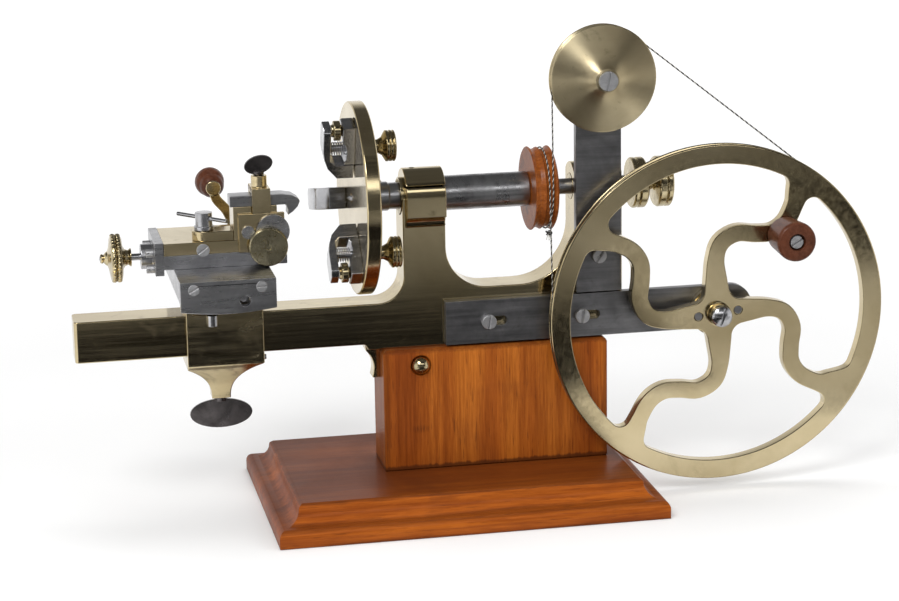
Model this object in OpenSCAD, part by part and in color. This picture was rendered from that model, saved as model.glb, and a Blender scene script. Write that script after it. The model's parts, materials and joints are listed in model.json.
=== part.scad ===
// Watchmaker's faceplate engine: a hand-driven mandrel lathe on a wooden stand.
// X runs along the spindle, towards the drive wheel. Y runs away from the drive side.
// Z is up. The origin is the middle of the base's underside.

/* [Stand] */
// Length of the moulded base
base_l = 179; // [150:1:180]
// Depth of the moulded base
base_w = 123; // [110:1:150]
// Thickness of the base
base_h = 17; // [14:0.5:24]
// Width of the base's moulded edge
mould_w = 12; // [8:0.5:14]
// Length of the wooden block
block_l = 105.6; // [100:0.2:110]
// Depth of the wooden block
block_d = 26.6; // [24:0.2:30]
// Height of the wooden block above the base
block_h = 57.4; // [57:0.2:80]
// How far the block stands right of the base's middle
block_off = 19.4; // [10:0.2:20]
// Radius of the brass ball nuts
ball_r = 4.3; // [3.5:0.1:4.6]

/* [Bed and headstock] */
// Thickness of the pad between the block and the bed bar
pad_h = 2.6; // [2:0.1:4]
// Height of the brass bed bar
bar_h = 19; // [16:0.5:24]
// Depth of the bed bar
bar_d = 17.5; // [15:0.5:19]
// Length of bar left of the front standard
bar_free = 150; // [140:1:180]
// Length of the front standard along the bed
front_l = 19.7; // [16:0.1:24]
// Gap between the two standards
gap_l = 60.4; // [50:0.2:66]
// Length of the rear standard along the bed
rear_l = 22.5; // [22:0.1:26]
// Height of the spindle's axis above the bed
axis_h = 48; // [47:0.5:56]
// Radius of the bearing heads
head_r = 12.6; // [11:0.1:13]

/* [Spindle and faceplate] */
// Radius of the faceplate
plate_r = 44; // [40:0.5:44]
// Thickness of the faceplate
plate_t = 6.7; // [5:0.1:8]
// Gap between faceplate and front standard
nose_l = 16.6; // [15.5:0.1:20]
// Radius of the spindle between the bearings
spindle_r = 8; // [6.5:0.1:9]
// Radius of the pulley's rims
pulley_r = 19.4; // [16:0.1:20]
// Width of the spindle pulley
pulley_w = 11; // [10:0.1:13]
// Radius of the pump centre's rod
rod_r = 1.5; // [1.2:0.1:1.8]

/* [Faceplate dogs] */
// Length of a dog along its slot
dog_l = 25.5; // [24:0.5:26]
// Width of a dog across its slot
dog_w = 10; // [9:0.5:12]
// Width of the slots in the faceplate
slot_w = 4.4; // [4:0.1:5]
// Radius at which a dog's bolt stands
dog_r = 28.8; // [27:0.2:30]
// Wire diameter of the dog springs
wire_d = 0.55; // [0.4:0.05:0.55]
// Turns of a dog spring
spring_turns = 6; // [5:1:6]

/* [Drive] */
// Outside radius of the drive wheel
wheel_r = 79.6; // [72:0.2:79.6]
// Thickness of the drive wheel
wheel_t = 5.6; // [4.8:0.1:6]
// Width of the wheel's rim
rim_w = 9.1; // [8:0.1:12]
// Width of the wheel's spokes
spoke_w = 8; // [6:0.2:10]
// Outside radius of the idler pulley
idler_r = 24.4; // [20:0.2:24.6]
// Height of the idler's axis above the spindle's
idler_up = 52.8; // [50:0.2:60]
// Diameter of the drive cord
cord_d = 1; // [0.8:0.1:1.2]
// Height of the wheel arm
arm_h = 20.4; // [18:0.2:22]
// Thickness of the wheel arm and the idler post
arm_t = 4.1; // [3.5:0.1:4.2]
// Length of the crank knob
knob_l = 19; // [16:0.5:30]

/* [Slide rest] */
// Length of the saddle along the bed
saddle_l = 34.8; // [32:0.2:38]
// Thickness of the saddle's walls
saddle_t = 4.2; // [3.5:0.1:5]
// Distance from the saddle to the front standard
saddle_gap = 65.4; // [65:0.2:70]
// Length of the cross slide across the bed
cross_l = 72; // [68:1:80]
// Width of the cross slide
cross_w = 43; // [42:0.2:46]
// Height of the cross slide
cross_h = 10.6; // [10:0.1:12]
// Length of the top slide along the bed
top_l = 56; // [54:0.5:60]
// Depth of the top slide
top_d = 35.4; // [34:0.2:40]
// Height of the steel lower part of the top slide
top_bed_h = 6.4; // [6:0.1:8]
// Height of the brass upper part of the top slide
top_plate_h = 5.7; // [5.4:0.1:7]
// Radius of the knurled handwheel
handwheel_r = 11; // [9:0.2:13]

/* [Hidden] */
$fn = 48;

// Clearances: a close fit, a running fit, a sliding face, and free air between bodies
fit = 0.02;
run = 0.05;
slide = 0.08;
free = 0.3;

brass = "#c2a24e";
steel = "#8d9096";
iron = "#4b4b50";
mahogany = "#9a4f24";

// Levels and stations of the bed
block_top = base_h + block_h;
bed_z = block_top + pad_h;
bar_top = bed_z + bar_h;
axis_z = bar_top + axis_h;
block_x = block_off - block_l / 2;
front_x = block_x + 11.2;
gap_x = front_x + front_l;
rear_x = gap_x + gap_l;
bed_end = rear_x + rear_l;
bar_x = front_x - bar_free;
face_y = -bar_d / 2;
plate_y = face_y - arm_t;
bush_flange = 1.8;

// Faceplate and dogs
plate_back = front_x - nose_l + 1.4;
plate_front = plate_back - plate_t;
dog_angles = [109.4, -130.6, -10.6];
dog_radii = [dog_r - 2.4, dog_r, dog_r - 0.4];
claw_w = 6.7;
seat_t = 3.6;
heel_t = 5.6;
jaw_gap = 0.3;
jaw_at = 10.8;
jaw_t = 3.5;
bolt_r = 1.6;

// Cord, pulleys and wheel, which share the cord's plane
groove_air = 0.25;
groove_d = 1.5;
pulley_x = gap_x + 40.3;
groove_pitch = 4.4;
cord_x = pulley_x + 2.7 + groove_pitch;
cord_gap = 0.6;
cord_pitch = cord_d + cord_gap;
pulley_cord_r = pulley_r - groove_d + groove_air + cord_d / 2;
wheel_cord_r = wheel_r - 2.4 + groove_air + cord_d / 2;
idler_cord_r = idler_r - 1.7 + groove_air + cord_d / 2;
wheel_back = plate_y - 4.55;
wheel_y = wheel_back - wheel_t / 2;
wheel_front = wheel_back - wheel_t;
wheel_x = cord_x + wheel_cord_r;
arm_z = bed_z + bar_h / 2 - 1;
wheel_z = arm_z - 1.1;
idler_x = cord_x + idler_cord_r;
idler_z = axis_z + idler_up;
idler_y = wheel_y;
axle_r = 3.5;
knob_at = 0.6 * wheel_r;
knob_angle = 49.2;
knob_x = wheel_x + knob_at * cos(knob_angle);
knob_z = wheel_z + knob_at * sin(knob_angle);
stud_r = 2.2;

// Arm, post and their screws
arm_x = gap_x - 1.4;
arm_end = wheel_x + 19.2;
slot_len = 11;
arm_slot_w = 4.2;
arm_slots = [20, 64];
screw_r = 1.6;
post_w = 21.4;
post_z = arm_z + arm_h / 2 + 0.6;
post_screw_z = post_z + 17;

// Slide rest
saddle_x = front_x - saddle_gap - saddle_l;
saddle_y = bar_d / 2 + saddle_t;
saddle_top = bar_top + saddle_t;
saddle_low = bed_z - saddle_t;
cross_x = saddle_x - (cross_w - saddle_l) / 2 + 1;
cross_y = -20;
cross_z = saddle_top + 4;
cross_top = cross_z + cross_h;
cross_back = cross_y + cross_l;
dove_w = 26;
dove_h = 6;
lead_x = cross_x + 28.8;
lead_z = saddle_top + 4.7;
end_t = 4;
top_x = cross_x - 4.3;
top_y = 2.9;
top_back = top_y + top_d;
top_mid = (top_y + top_back) / 2;
top_bed_z = cross_top;
top_plate_z = top_bed_z + top_bed_h;
top_z = top_plate_z + top_plate_h;
ridge_w = 16;
ridge_h = 2.6;
screw_z = top_bed_z + 3.1;
end_plate_t = 4;
boss_t = 5.2;
strap_t = 4.5;
clamp_x = top_x + 19.2;
clamp_y = top_y + 5.9;
carrier_x = top_x + 32;
carrier_l = 20;
carrier_top = top_z + 15.2;
tool_d = 9;
tool_h = 5;
stirrup_x = carrier_x + 8.5;
stirrup_l = 8.4;
tool_screw_y = top_y + tool_d / 2;
disc_x = carrier_x + 14.8;
disc_z = top_z - 2.6;

// Places children with their local +Z along +X
module along_x(p) {
    translate(p) rotate([0, 90, 0]) children();
}

// Places children with their local +Z towards the front, -Y
module to_front(p) {
    translate(p) rotate([90, 0, 0]) children();
}

// Extrudes an XZ outline from depth y0 back to y1
module slab(y0, y1) {
    translate([0, y1, 0]) rotate([90, 0, 0]) linear_extrude(y1 - y0) children();
}

// A box between two corners
module block(a, b) {
    translate(a) cube(b - a);
}

// Cheese-head screw, head above z = 0 and shank below
module slotted_screw(head_r, head_h, shank_r, shank_l, turn = 20) {
    difference() {
        union() {
            cylinder(r = head_r, h = head_h);
            translate([0, 0, -shank_l]) cylinder(r = shank_r, h = shank_l + head_h / 2);
        }
        rotate([0, 0, turn]) translate([-head_r - 1, -head_r / 8, head_h * 0.6])
            cube([2 * head_r + 2, head_r / 4, head_h]);
    }
}

// Inset of the base's edge at each height: bead, shelf, cove and rounded top
function mould_edge() = let(s = mould_w / 12, h = base_h)
    concat([[0, 0], [0, 0.26 * h]],
        [for (a = [15 : 15 : 90]) [3 * s * (1 - cos(a)), h * (0.26 + 0.22 * sin(a))]],
        [for (a = [-90 : 15 : 0]) [s * (3.8 + 6.4 * cos(a)), h * (0.9 + 0.42 * sin(a))]],
        [for (a = [0 : 30 : 90]) [s * (10.4 + 1.6 * sin(a)), h * (0.93 + 0.07 * sin(a))]]);

module moulded_prism(width, length) {
    edge = mould_edge();
    last = len(edge) - 1;
    right = [for (p = edge) [width / 2 - p[0], p[1]]];
    left = [for (i = [last : -1 : 0]) [edge[i][0] - width / 2, edge[i][1]]];
    translate([0, length / 2, 0]) rotate([90, 0, 0]) linear_extrude(length)
        polygon(concat(right, left));
}

base_screw_at = [18, block_l - 18];
bolt_at = [17.5, block_l - 20.7];
bolt_z = block_top - 7.7;
tongue_h = 14.4;
tongue_d = 8;
tongue_from = block_x - 6.6;
tongue_to = block_x + block_l - 2;
foot_bolt_r = 2;

module base_board() {
    color(mahogany) difference() {
        intersection() {
            moulded_prism(base_l, base_w);
            rotate([0, 0, 90]) moulded_prism(base_w, base_l);
        }
        for (x = base_screw_at) translate([block_x + x, 0, 0]) {
            translate([0, 0, -1]) cylinder(r = 2 + fit, h = base_h + 2);
            translate([0, 0, -1]) cylinder(r = 4.4, h = 5);
        }
    }
}

module pedestal_block() {
    c = 1.5;
    color(mahogany) difference() {
        intersection() {
            slab(-block_d / 2, block_d / 2) polygon([[block_x, base_h],
                [block_x + block_l, base_h], [block_x + block_l, block_top - c],
                [block_x + block_l - c, block_top], [block_x + c, block_top], [block_x, block_top - c]]);
            translate([block_x - 1, 0, 0]) rotate([90, 0, 90]) linear_extrude(block_l + 2)
                polygon([[-block_d / 2, base_h], [block_d / 2, base_h],
                    [block_d / 2, block_top - c], [block_d / 2 - c, block_top],
                    [c - block_d / 2, block_top], [-block_d / 2, block_top - c]]);
        }
        block([block_x - 1, -tongue_d / 2 - fit, block_top - tongue_h - fit],
            [tongue_to + 0.5, tongue_d / 2 + fit, block_top + 1]);
        for (x = bolt_at) {
            to_front([block_x + x, block_d, bolt_z]) cylinder(r = foot_bolt_r + fit, h = 60);
            to_front([block_x + x, 1.6 - block_d / 2, bolt_z]) cylinder(r = ball_r + 0.3, h = 5);
        }
        for (x = base_screw_at) translate([block_x + x, 0, base_h - 1])
            cylinder(r = 2 + fit, h = 21);
    }
}

// Two cross bolts through block and tongue, and two wood screws up through the base
module stand_bolts() {
    color(steel) {
        for (x = bolt_at) rotate([0, 0, 180])
            to_front([-block_x - x, -block_d / 2, bolt_z])
                slotted_screw(4, 2.4, foot_bolt_r, block_d + 0.6, 70);
        for (x = base_screw_at) translate([block_x + x, 0, 4]) rotate([180, 0, 0])
            slotted_screw(4, 2.4, 2, base_h - 4 + 19, 30);
    }
}

// Round nuts that sit in shallow recesses in the block's front
module ball_nuts() {
    for (x = bolt_at) color(brass) to_front([block_x + x, 1.6 - block_d / 2, bolt_z])
        difference() {
            translate([0, 0, 0.7]) sphere(r = ball_r);
            translate([0, 0, -10]) cylinder(r = 9, h = 10);
            translate([0, 0, -1]) cylinder(r = foot_bolt_r + fit, h = 3.4);
        }
}

bush_front_r = 7.4;
flange_r = bush_front_r + 1;
bush_rear_r = 6;
journal_r = 5;
tail_r = 3.65;
head_back = gap_x;
head_front = front_x + 1.4;

// U-shaped opening between the standards, open at the top
module gap_cut() {
    small = min(19.5, gap_l / 3);
    large = min(26, gap_l - small - 6);
    floor_z = bar_top + 5;
    block([gap_x, -40, floor_z + large], [rear_x, 40, axis_z + 60]);
    block([gap_x, -40, floor_z + small], [rear_x - large, 40, axis_z]);
    block([gap_x + small, -40, floor_z], [rear_x - large, 40, axis_z]);
    to_front([gap_x + small, 40, floor_z + small]) cylinder(r = small, h = 80, $fn = 96);
    to_front([rear_x - large, 40, floor_z + large]) cylinder(r = large, h = 80, $fn = 96);
}

// Cove under one side of the front bearing head
module head_cove(side) {
    w = head_r - bar_d / 2;
    difference() {
        block([head_front, side > 0 ? bar_d / 2 - 1 : -head_r, axis_z - 8.6 - w - 0.6],
            [head_back, side > 0 ? head_r : 1 - bar_d / 2, axis_z - 8.6]);
        along_x([front_x - 5, side * (head_r + 0.2), axis_z - 8.8 - w]) cylinder(r = w, h = 40);
    }
}

module bed_frame() {
    color(brass) difference() {
        union() {
            difference() {
                block([bar_x, face_y, bed_z], [bed_end, bar_d / 2, bar_top]);
                for (s = [-1, 1]) translate([bar_x, s * bar_d / 2, 0]) difference() {
                    translate([-1, -2, bed_z - 1]) cube([3, 4, bar_h + 2]);
                    translate([2, -s * 2, bed_z - 2]) cylinder(r = 2, h = bar_h + 4);
                }
            }
            difference() {
                block([front_x - 12, face_y, bar_top - 1], [bed_end, bar_d / 2, axis_z]);
                to_front([front_x - 12, 40, bar_top + 12]) cylinder(r = 12, h = 80, $fn = 96);
                block([front_x - 20, -40, bar_top + 12], [front_x, 40, axis_z + 40]);
                gap_cut();
            }
            block([head_front, -head_r, axis_z - 8.6], [head_back, head_r, axis_z]);
            along_x([head_front, 0, axis_z]) cylinder(r = head_r, h = head_back - head_front);
            for (s = [-1, 1]) head_cove(s);
            intersection() {
                along_x([rear_x, 0, axis_z]) cylinder(r = 11.5, h = rear_l);
                block([rear_x, face_y, axis_z - 20], [bed_end, bar_d / 2, axis_z + 20]);
            }
            difference() {
                block([tongue_from, -tongue_d / 2, block_top - tongue_h],
                    [tongue_to, tongue_d / 2, bed_z + 1]);
                to_front([tongue_from - 8.3, 40, block_top - 10]) cylinder(r = 12, h = 80);
            }
            slab(face_y, bar_d / 2) polygon([[block_x - 7.5, bed_z + 1], [block_x - 7.5, bed_z],
                [block_x - 5.9, block_top], [block_x + block_l, block_top],
                [block_x + block_l, bed_z + 1]]);
        }
        along_x([front_x - 5, 0, axis_z]) cylinder(r = bush_front_r, h = front_l + 10);
        along_x([front_x - 5, 0, axis_z]) cylinder(r = flange_r + fit, h = head_front - front_x + 5);
        along_x([rear_x - 5, 0, axis_z]) cylinder(r = bush_rear_r, h = rear_l + 10);
        // Take-up slit and oil hole of the front bearing
        block([front_x - 5, -head_r - 1, axis_z + 5.2], [gap_x + 1, -bush_front_r / 2, axis_z + 6]);
        translate([head_front + 4.6, 0, axis_z]) cylinder(r = 1.1, h = 20);
        for (x = arm_slots) to_front([front_x + 18.3 + x, 0, arm_z])
            cylinder(r = screw_r, h = 20);
        to_front([idler_x, 2, post_screw_z]) cylinder(r = screw_r, h = 20);
        for (x = bolt_at) to_front([block_x + x, 20, bolt_z])
            cylinder(r = foot_bolt_r + fit, h = 40);
    }
}

// Turned bush: outside radius, bore, length and an optional flange at its left end
module bush(outer, bore, length, flange_r, flange_t) {
    difference() {
        union() {
            translate([0, 0, -0.1]) cylinder(r = outer - fit, h = length + 0.1);
            translate([0, 0, -flange_t]) cylinder(r = flange_r, h = flange_t);
        }
        translate([0, 0, -10]) cylinder(r = bore + run, h = length + 20);
    }
}

module bearing_bushes() {
    color(brass) {
        along_x([head_front, 0, axis_z])
            bush(bush_front_r, journal_r, head_back - head_front, flange_r, bush_flange);
        along_x([rear_x, 0, axis_z]) bush(bush_rear_r, tail_r, rear_l, bush_rear_r - fit, 0.01);
    }
}

// One of the arm's long holes, cut right through it
module arm_slot(x) {
    r = arm_slot_w / 2;
    for (e = [r, slot_len - r]) to_front([x + e, 0, arm_z]) cylinder(r = r, h = 2 * bar_d);
    block([x + r, -2 * bar_d, arm_z - r], [x + slot_len - r, 0, arm_z + r]);
}

module wheel_arm() {
    r = arm_h / 2;
    color(iron) difference() {
        union() {
            block([arm_x, plate_y, arm_z - r], [arm_end - r, face_y, arm_z + r]);
            to_front([arm_end - r, face_y, arm_z]) cylinder(r = r, h = arm_t, $fn = 96);
        }
        for (x = arm_slots) arm_slot(front_x + 18.3 + x - 2.3);
        to_front([wheel_x, 0, wheel_z]) cylinder(r = 2.5 + fit, h = 40);
    }
}

module arm_screws() {
    color(steel) {
        for (x = arm_slots) to_front([front_x + 18.3 + x, plate_y, arm_z])
            slotted_screw(3.4, 2.6, screw_r - fit, arm_t + 7, 80);
        to_front([idler_x, plate_y, post_screw_z])
            slotted_screw(3.3, 2.2, screw_r - fit, arm_t + 7, 60);
    }
}

hub_t = plate_y - wheel_back;
hub_r = 11.5;
nut_t = 6.4;

// Shoulder bolt on which the wheel turns, with a domed slotted head
module wheel_axle() {
    head_y = wheel_front - 4.4;
    color(steel) difference() {
        to_front([wheel_x, face_y + 7, wheel_z]) {
            cylinder(r = 2.5, h = 7 + arm_t);
            translate([0, 0, 7 + arm_t]) cylinder(r = axle_r, h = plate_y - head_y);
            translate([0, 0, 7 + face_y - head_y]) intersection() {
                cylinder(r = 4.9, h = 4);
                translate([0, 0, -3.4]) sphere(r = 7, $fn = 64);
            }
        }
        to_front([wheel_x, head_y - 2.2, wheel_z]) rotate([0, 0, 75])
            translate([-6, -0.5, 0]) cube([12, 1, 6]);
    }
}

// Round nut that locks the axle behind the arm
module axle_nut() {
    color(brass) rotate([0, 0, 180]) to_front([-wheel_x, -face_y, wheel_z]) difference() {
        rotate_extrude() polygon([[0, 0], [9.4, 0], [9.4, 3.2], [8.4, 4.2], [5, 4.6],
            [4.2, nut_t], [0, nut_t]]);
        translate([0, 0, -1]) cylinder(r = 2.5 + fit, h = nut_t + 2);
    }
}

module idler_post() {
    r = post_w / 2;
    color(iron) difference() {
        union() {
            block([idler_x - r, plate_y, post_z], [idler_x + r, face_y, idler_z]);
            to_front([idler_x, face_y, idler_z]) cylinder(r = r, h = arm_t, $fn = 96);
        }
        to_front([idler_x, 0, idler_z]) cylinder(r = 2 + fit, h = 2 * bar_d);
        to_front([idler_x, 0, post_screw_z]) cylinder(r = screw_r, h = 2 * bar_d);
    }
}

idler_back = idler_y + 3.4;
idler_hub_l = 12.5;
idler_hub_r = 5.4;
idler_hub_y = idler_back - idler_hub_l - free;
idler_pin_r = 3;

// Shoulder screw of the idler, riveted behind the post
module idler_screw() {
    color(steel) difference() {
        to_front([idler_x, face_y + 1.5, idler_z]) {
            cylinder(r = 3.6, h = 1.5);
            cylinder(r = 2, h = 1.5 + arm_t);
            translate([0, 0, 1.5 + arm_t]) cylinder(r = 4.4, h = plate_y - idler_back - free);
            translate([0, 0, 1.5 + arm_t]) cylinder(r = idler_pin_r, h = plate_y - idler_hub_y);
            translate([0, 0, 1.5 + face_y - idler_hub_y]) cylinder(r = 4.4, h = 1.8);
        }
        to_front([idler_x, idler_hub_y - 1, idler_z]) rotate([0, 0, 80])
            translate([-6, -0.4, 0]) cube([12, 0.8, 4]);
    }
}

// The cord's route: plane arcs round wheel and idler, and one turn round the spindle pulley
link = [idler_x - wheel_x, idler_z - wheel_z];
link_len = norm(link);
link_angle = atan2(link[1], link[0]);
leave_angle = link_angle - acos((wheel_cord_r - idler_cord_r) / link_len);
wheel_steps = 28;
idler_steps = 12;
loop_steps = 24;

function on_circle(cx, cz, r, a, y) = [cx + r * cos(a), y, cz + r * sin(a)];
function outer_r(r, sweep, steps) = r / cos(sweep / steps / 2);

wheel_path = [for (i = [0 : wheel_steps]) let(sweep = 180 + leave_angle,
    a = 180 + i * sweep / wheel_steps,
    r = (i == 0 || i == wheel_steps) ? wheel_cord_r : outer_r(wheel_cord_r, sweep, wheel_steps))
    on_circle(wheel_x, wheel_z, r, a, wheel_y)];
idler_path = [for (i = [0 : idler_steps]) let(sweep = 180 - leave_angle,
    a = leave_angle + i * sweep / idler_steps,
    r = (i == 0 || i == idler_steps) ? idler_cord_r : outer_r(idler_cord_r, sweep, idler_steps))
    on_circle(idler_x, idler_z, r, a, idler_y)];
loop_path = [for (i = [0 : loop_steps]) let(a = 180 + i * 360 / loop_steps,
    r = (i == 0 || i == loop_steps) ? pulley_cord_r : outer_r(pulley_cord_r, 360, loop_steps),
    x = cord_x + cord_pitch * (0.5 - i / loop_steps))
    [x, r * cos(a), axis_z + r * sin(a)]];
cord_path = concat(wheel_path, idler_path, loop_path);
loop_from = len(wheel_path) + len(idler_path);

function unit(v) = v / norm(v);
function ring_frame(path, i) = let(n = len(path), t = unit(path[(i + 1) % n] - path[(i + n - 1) % n]),
    x = unit([1, 0, 0] - t[0] * t), y = unit([0, 1, 0] - t[1] * t))
    i >= loop_from ? [cross(x, t), x] : [y, cross(t, y)];

module drive_cord() {
    sides = 8;
    n = len(cord_path);
    points = [for (i = [0 : n - 1]) let(f = ring_frame(cord_path, i))
        for (k = [0 : sides - 1]) cord_path[i]
            + cord_d / 2 * (cos(k * 360 / sides) * f[0] + sin(k * 360 / sides) * f[1])];
    faces = [for (i = [0 : n - 1]) for (k = [0 : sides - 1])
        let(a = i * sides + k, b = i * sides + (k + 1) % sides,
            c = ((i + 1) % n) * sides + (k + 1) % sides, d = ((i + 1) % n) * sides + k)
        each [[a, b, c], [a, c, d]]];
    color("#6b665c") polyhedron(points, faces);
}

web_r = 4.6;
hub_web_r = 6;

// Centre line of one S-shaped spoke, as radius share and angle from the spoke's root
spoke_line = [[0.05, 4], [0.21, 4], [0.325, 3], [0.42, -2], [0.485, -13], [0.515, -26],
    [0.57, -35], [0.66, -38], [0.765, -36.5], [0.83, -34.5], [0.92, -32]];
// Each spoke's place round the hub, how far its bend is drawn in, its end's lean and its outer web
spoke_set = [[90, 0, 0, 0.3], [0, 0.018, 0.5, 1.3], [-90, 0.018, 2.4, 0.2], [180, 0, 0, 0.2]];
tight_web = 1.3;
function spoke_point(p, k) = let(share = p[0] - k[1] * sin(200 * (p[0] - 0.05)), a = p[1] - k[2] * p[0])
    wheel_r * share * [cos(a), sin(a)];
function spline(a, b, c, d, t) = 0.5 * ((2 * b) + (c - a) * t
    + (2 * a - 5 * b + 4 * c - d) * t * t + (3 * b - a - 3 * c + d) * t * t * t);
function spoke_curve(k) = let(p = [for (q = spoke_line) spoke_point(q, k)], n = len(p))
    [for (i = [0 : n - 2]) for (k = [0 : 4]) spline(p[max(i - 1, 0)], p[i], p[i + 1],
        p[min(i + 2, n - 1)], k / 5)];
function spoke_half(i, n, web) = let(s = i / (n - 1))
    spoke_w / 2 * (1 + 0.75 * pow(max(0, 1 - s / 0.24), 1.6) + web * pow(max(0, (s - 0.8) / 0.2), 1.8));

module spoke_outline(k) {
    line = spoke_curve(k);
    n = len(line);
    sides = [for (i = [0 : n - 1]) let(t = unit(line[min(i + 1, n - 1)] - line[max(i - 1, 0)]),
        across = [-t[1], t[0]])
        [line[i] + spoke_half(i, n, k[3]) * across, line[i] - spoke_half(i, n, tight_web) * across]];
    polygon(concat([for (s = sides) s[0]], [for (i = [n - 1 : -1 : 0]) sides[i][1]]));
}

// The wheel's face in one outline, with rounded inside corners where spokes meet hub and rim
module wheel_outline() {
    difference() {
        circle(r = wheel_r - 3, $fn = 180);
        offset(r = web_r) offset(delta = -web_r) difference() {
            circle(r = wheel_r - rim_w, $fn = 180);
            offset(r = -hub_web_r) offset(delta = hub_web_r) {
                for (k = spoke_set) rotate(k[0]) spoke_outline(k);
                circle(r = 0.12 * wheel_r);
            }
            rotate(knob_angle) translate([knob_at, 0]) circle(r = 5.5);
        }
    }
}

module drive_wheel() {
    mid = wheel_t / 2;
    color(brass) to_front([wheel_x, wheel_back, wheel_z]) difference() {
        union() {
            rotate_extrude($fn = 180) polygon([[wheel_r - 4, 0], [wheel_r - 0.4, 0],
                [wheel_r, 0.4], [wheel_r, mid - 1.5], [wheel_r - 2.4, mid - 0.9],
                [wheel_r - 2.4, mid + 0.9], [wheel_r, mid + 1.5], [wheel_r, wheel_t - 0.4],
                [wheel_r - 0.4, wheel_t], [wheel_r - 4, wheel_t]]);
            linear_extrude(wheel_t) wheel_outline();
            translate([0, 0, 1]) cylinder(r = 5.4, h = wheel_t + 3.1);
        }
        translate([0, 0, -1]) cylinder(r = axle_r + run, h = 20);
        rotate([0, 0, knob_angle]) translate([knob_at, 0, -1]) cylinder(r = stud_r, h = 12);
        for (p = hub_pin_at) translate([p[0], p[1], -1]) cylinder(r = 2, h = 12);
    }
}
hub_pin_at = [[-9.6, -0.6], [9.4, 1.4]];

// Flanged bush behind the wheel, with the two rivets that hold it
module hub_flange() {
    color(steel) to_front([wheel_x, wheel_back + hub_t - 0.3, wheel_z]) difference() {
        union() {
            cylinder(r = hub_r, h = hub_t - 0.3);
            for (p = hub_pin_at) translate([p[0], p[1], 0])
                cylinder(r = 2 - fit, h = hub_t - 0.3 + wheel_t);
        }
        translate([0, 0, -1]) cylinder(r = axle_r + run, h = 20);
    }
}

recess_h = 3;

// Stud of the crank knob, riveted into the wheel
module crank_stud() {
    l = wheel_t + free + knob_l;
    color(steel) to_front([knob_x, wheel_back, knob_z]) difference() {
        union() {
            cylinder(r = stud_r - fit, h = l - recess_h);
            translate([0, 0, l - recess_h]) cylinder(r = 3, h = 2.2);
        }
        rotate([0, 0, 30]) translate([-4, -0.4, l - recess_h + 1.2]) cube([8, 0.8, 3]);
    }
}

module crank_knob() {
    color(mahogany) to_front([knob_x, wheel_front - free, knob_z]) difference() {
        rotate_extrude() polygon([[0, 0], [7.6, 0], [8.3, 0.7], [8.6, knob_l / 3],
            [9.2, knob_l - 2.4], [9, knob_l - 0.8], [8.2, knob_l], [0, knob_l]]);
        translate([0, 0, -1]) cylinder(r = stud_r + run, h = knob_l + 2);
        translate([0, 0, knob_l - recess_h - 0.3]) cylinder(r = 3.9, h = 6);
    }
}

module idler_pulley() {
    r = idler_r;
    g = r - 1.7;
    color(brass) to_front([idler_x, idler_back, idler_z]) difference() {
        rotate_extrude($fn = 120) polygon(concat([[0, 0], [r - 0.6, 0], [r - 0.1, 0.5],
            [r - 0.1, 1.6], [g, 2.6], [g, 4.2], [r, 5.2], [r, 5.9], [r - 0.6, 6.3]],
            [for (s = [0.05 : 0.1 : 0.95]) [idler_hub_r + 0.2 + (r - idler_hub_r - 1.2) * (1 - s),
                6.3 + 2.4 * s + 3.4 * pow(s, 5)]],
            [[idler_hub_r, idler_hub_l], [0, idler_hub_l]]));
        translate([0, 0, -1]) cylinder(r = idler_pin_r + run, h = 20);
    }
}

tail_end = bed_end + 3.6;

module spindle() {
    nose = plate_back - plate_t + 1.5;
    color(steel) along_x([0, 0, axis_z]) difference() {
        rotate_extrude() polygon([[0, nose], [4, nose], [4, plate_back], [6.7, plate_back],
            [6.7, plate_back + 9.6], [6.1, plate_back + 10.2], [6.1, head_front - bush_flange - run],
            [journal_r, head_front - bush_flange - run], [journal_r, gap_x + run],
            [spindle_r - 0.3, gap_x + run], [spindle_r, gap_x + run + 0.3],
            [spindle_r, pulley_x - 0.6], [spindle_r - 0.6, pulley_x], [4.5, pulley_x],
            [4.5, pulley_x + pulley_w], [tail_r, pulley_x + pulley_w], [tail_r, tail_end],
            [0, tail_end]]);
        translate([0, 0, nose - 1]) cylinder(r = rod_r + run, h = tail_end - nose + 2);
    }
}

slot_in = 15;
slot_out = 41.5;

module faceplate() {
    color(brass) difference() {
        along_x([0, 0, axis_z]) rotate_extrude($fn = 180) polygon([[rod_r + 0.8, plate_front],
            [plate_r - 0.6, plate_front], [plate_r, plate_front + 0.6],
            [plate_r, plate_back - 0.6], [plate_r - 0.6, plate_back], [4 + fit, plate_back],
            [4 + fit, plate_front + 1.5 - fit], [rod_r + 0.8, plate_front + 1.5 - fit]]);
        for (a = dog_angles) at_dog(a) {
            for (r = [slot_in + slot_w / 2, slot_out - slot_w / 2])
                along_x([-plate_t, r, 0]) cylinder(r = slot_w / 2, h = 3 * plate_t);
            block([-plate_t, slot_in + slot_w / 2, -slot_w / 2],
                [2 * plate_t, slot_out - slot_w / 2, slot_w / 2]);
        }
    }
}

module spindle_pulley() {
    r = pulley_r;
    w = pulley_w;
    flat = cord_pitch / 2 + cord_d / 2 + groove_air;
    c = 2.7 + groove_pitch;
    color("#8a4a22") along_x([pulley_x, 0, axis_z]) difference() {
        rotate_extrude($fn = 96) polygon([[0, 0], [r - 0.6, 0], [r, 0.5], [r - 0.8, 1.3],
            [r - 1.5, 2.7], [r - 0.9, 4], [r - 0.4, 4.8], [r - 0.5, c - flat - 0.7],
            [r - groove_d, c - flat], [r - groove_d, c + flat], [r - 0.3, c + flat + 0.7],
            [r, c + flat + 1.3], [r - 1.6, w], [0, w]]);
        translate([0, 0, -1]) cylinder(r = 4.5 + fit, h = w + 2);
    }
}

knob_start = tail_end + 1.9;

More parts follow.
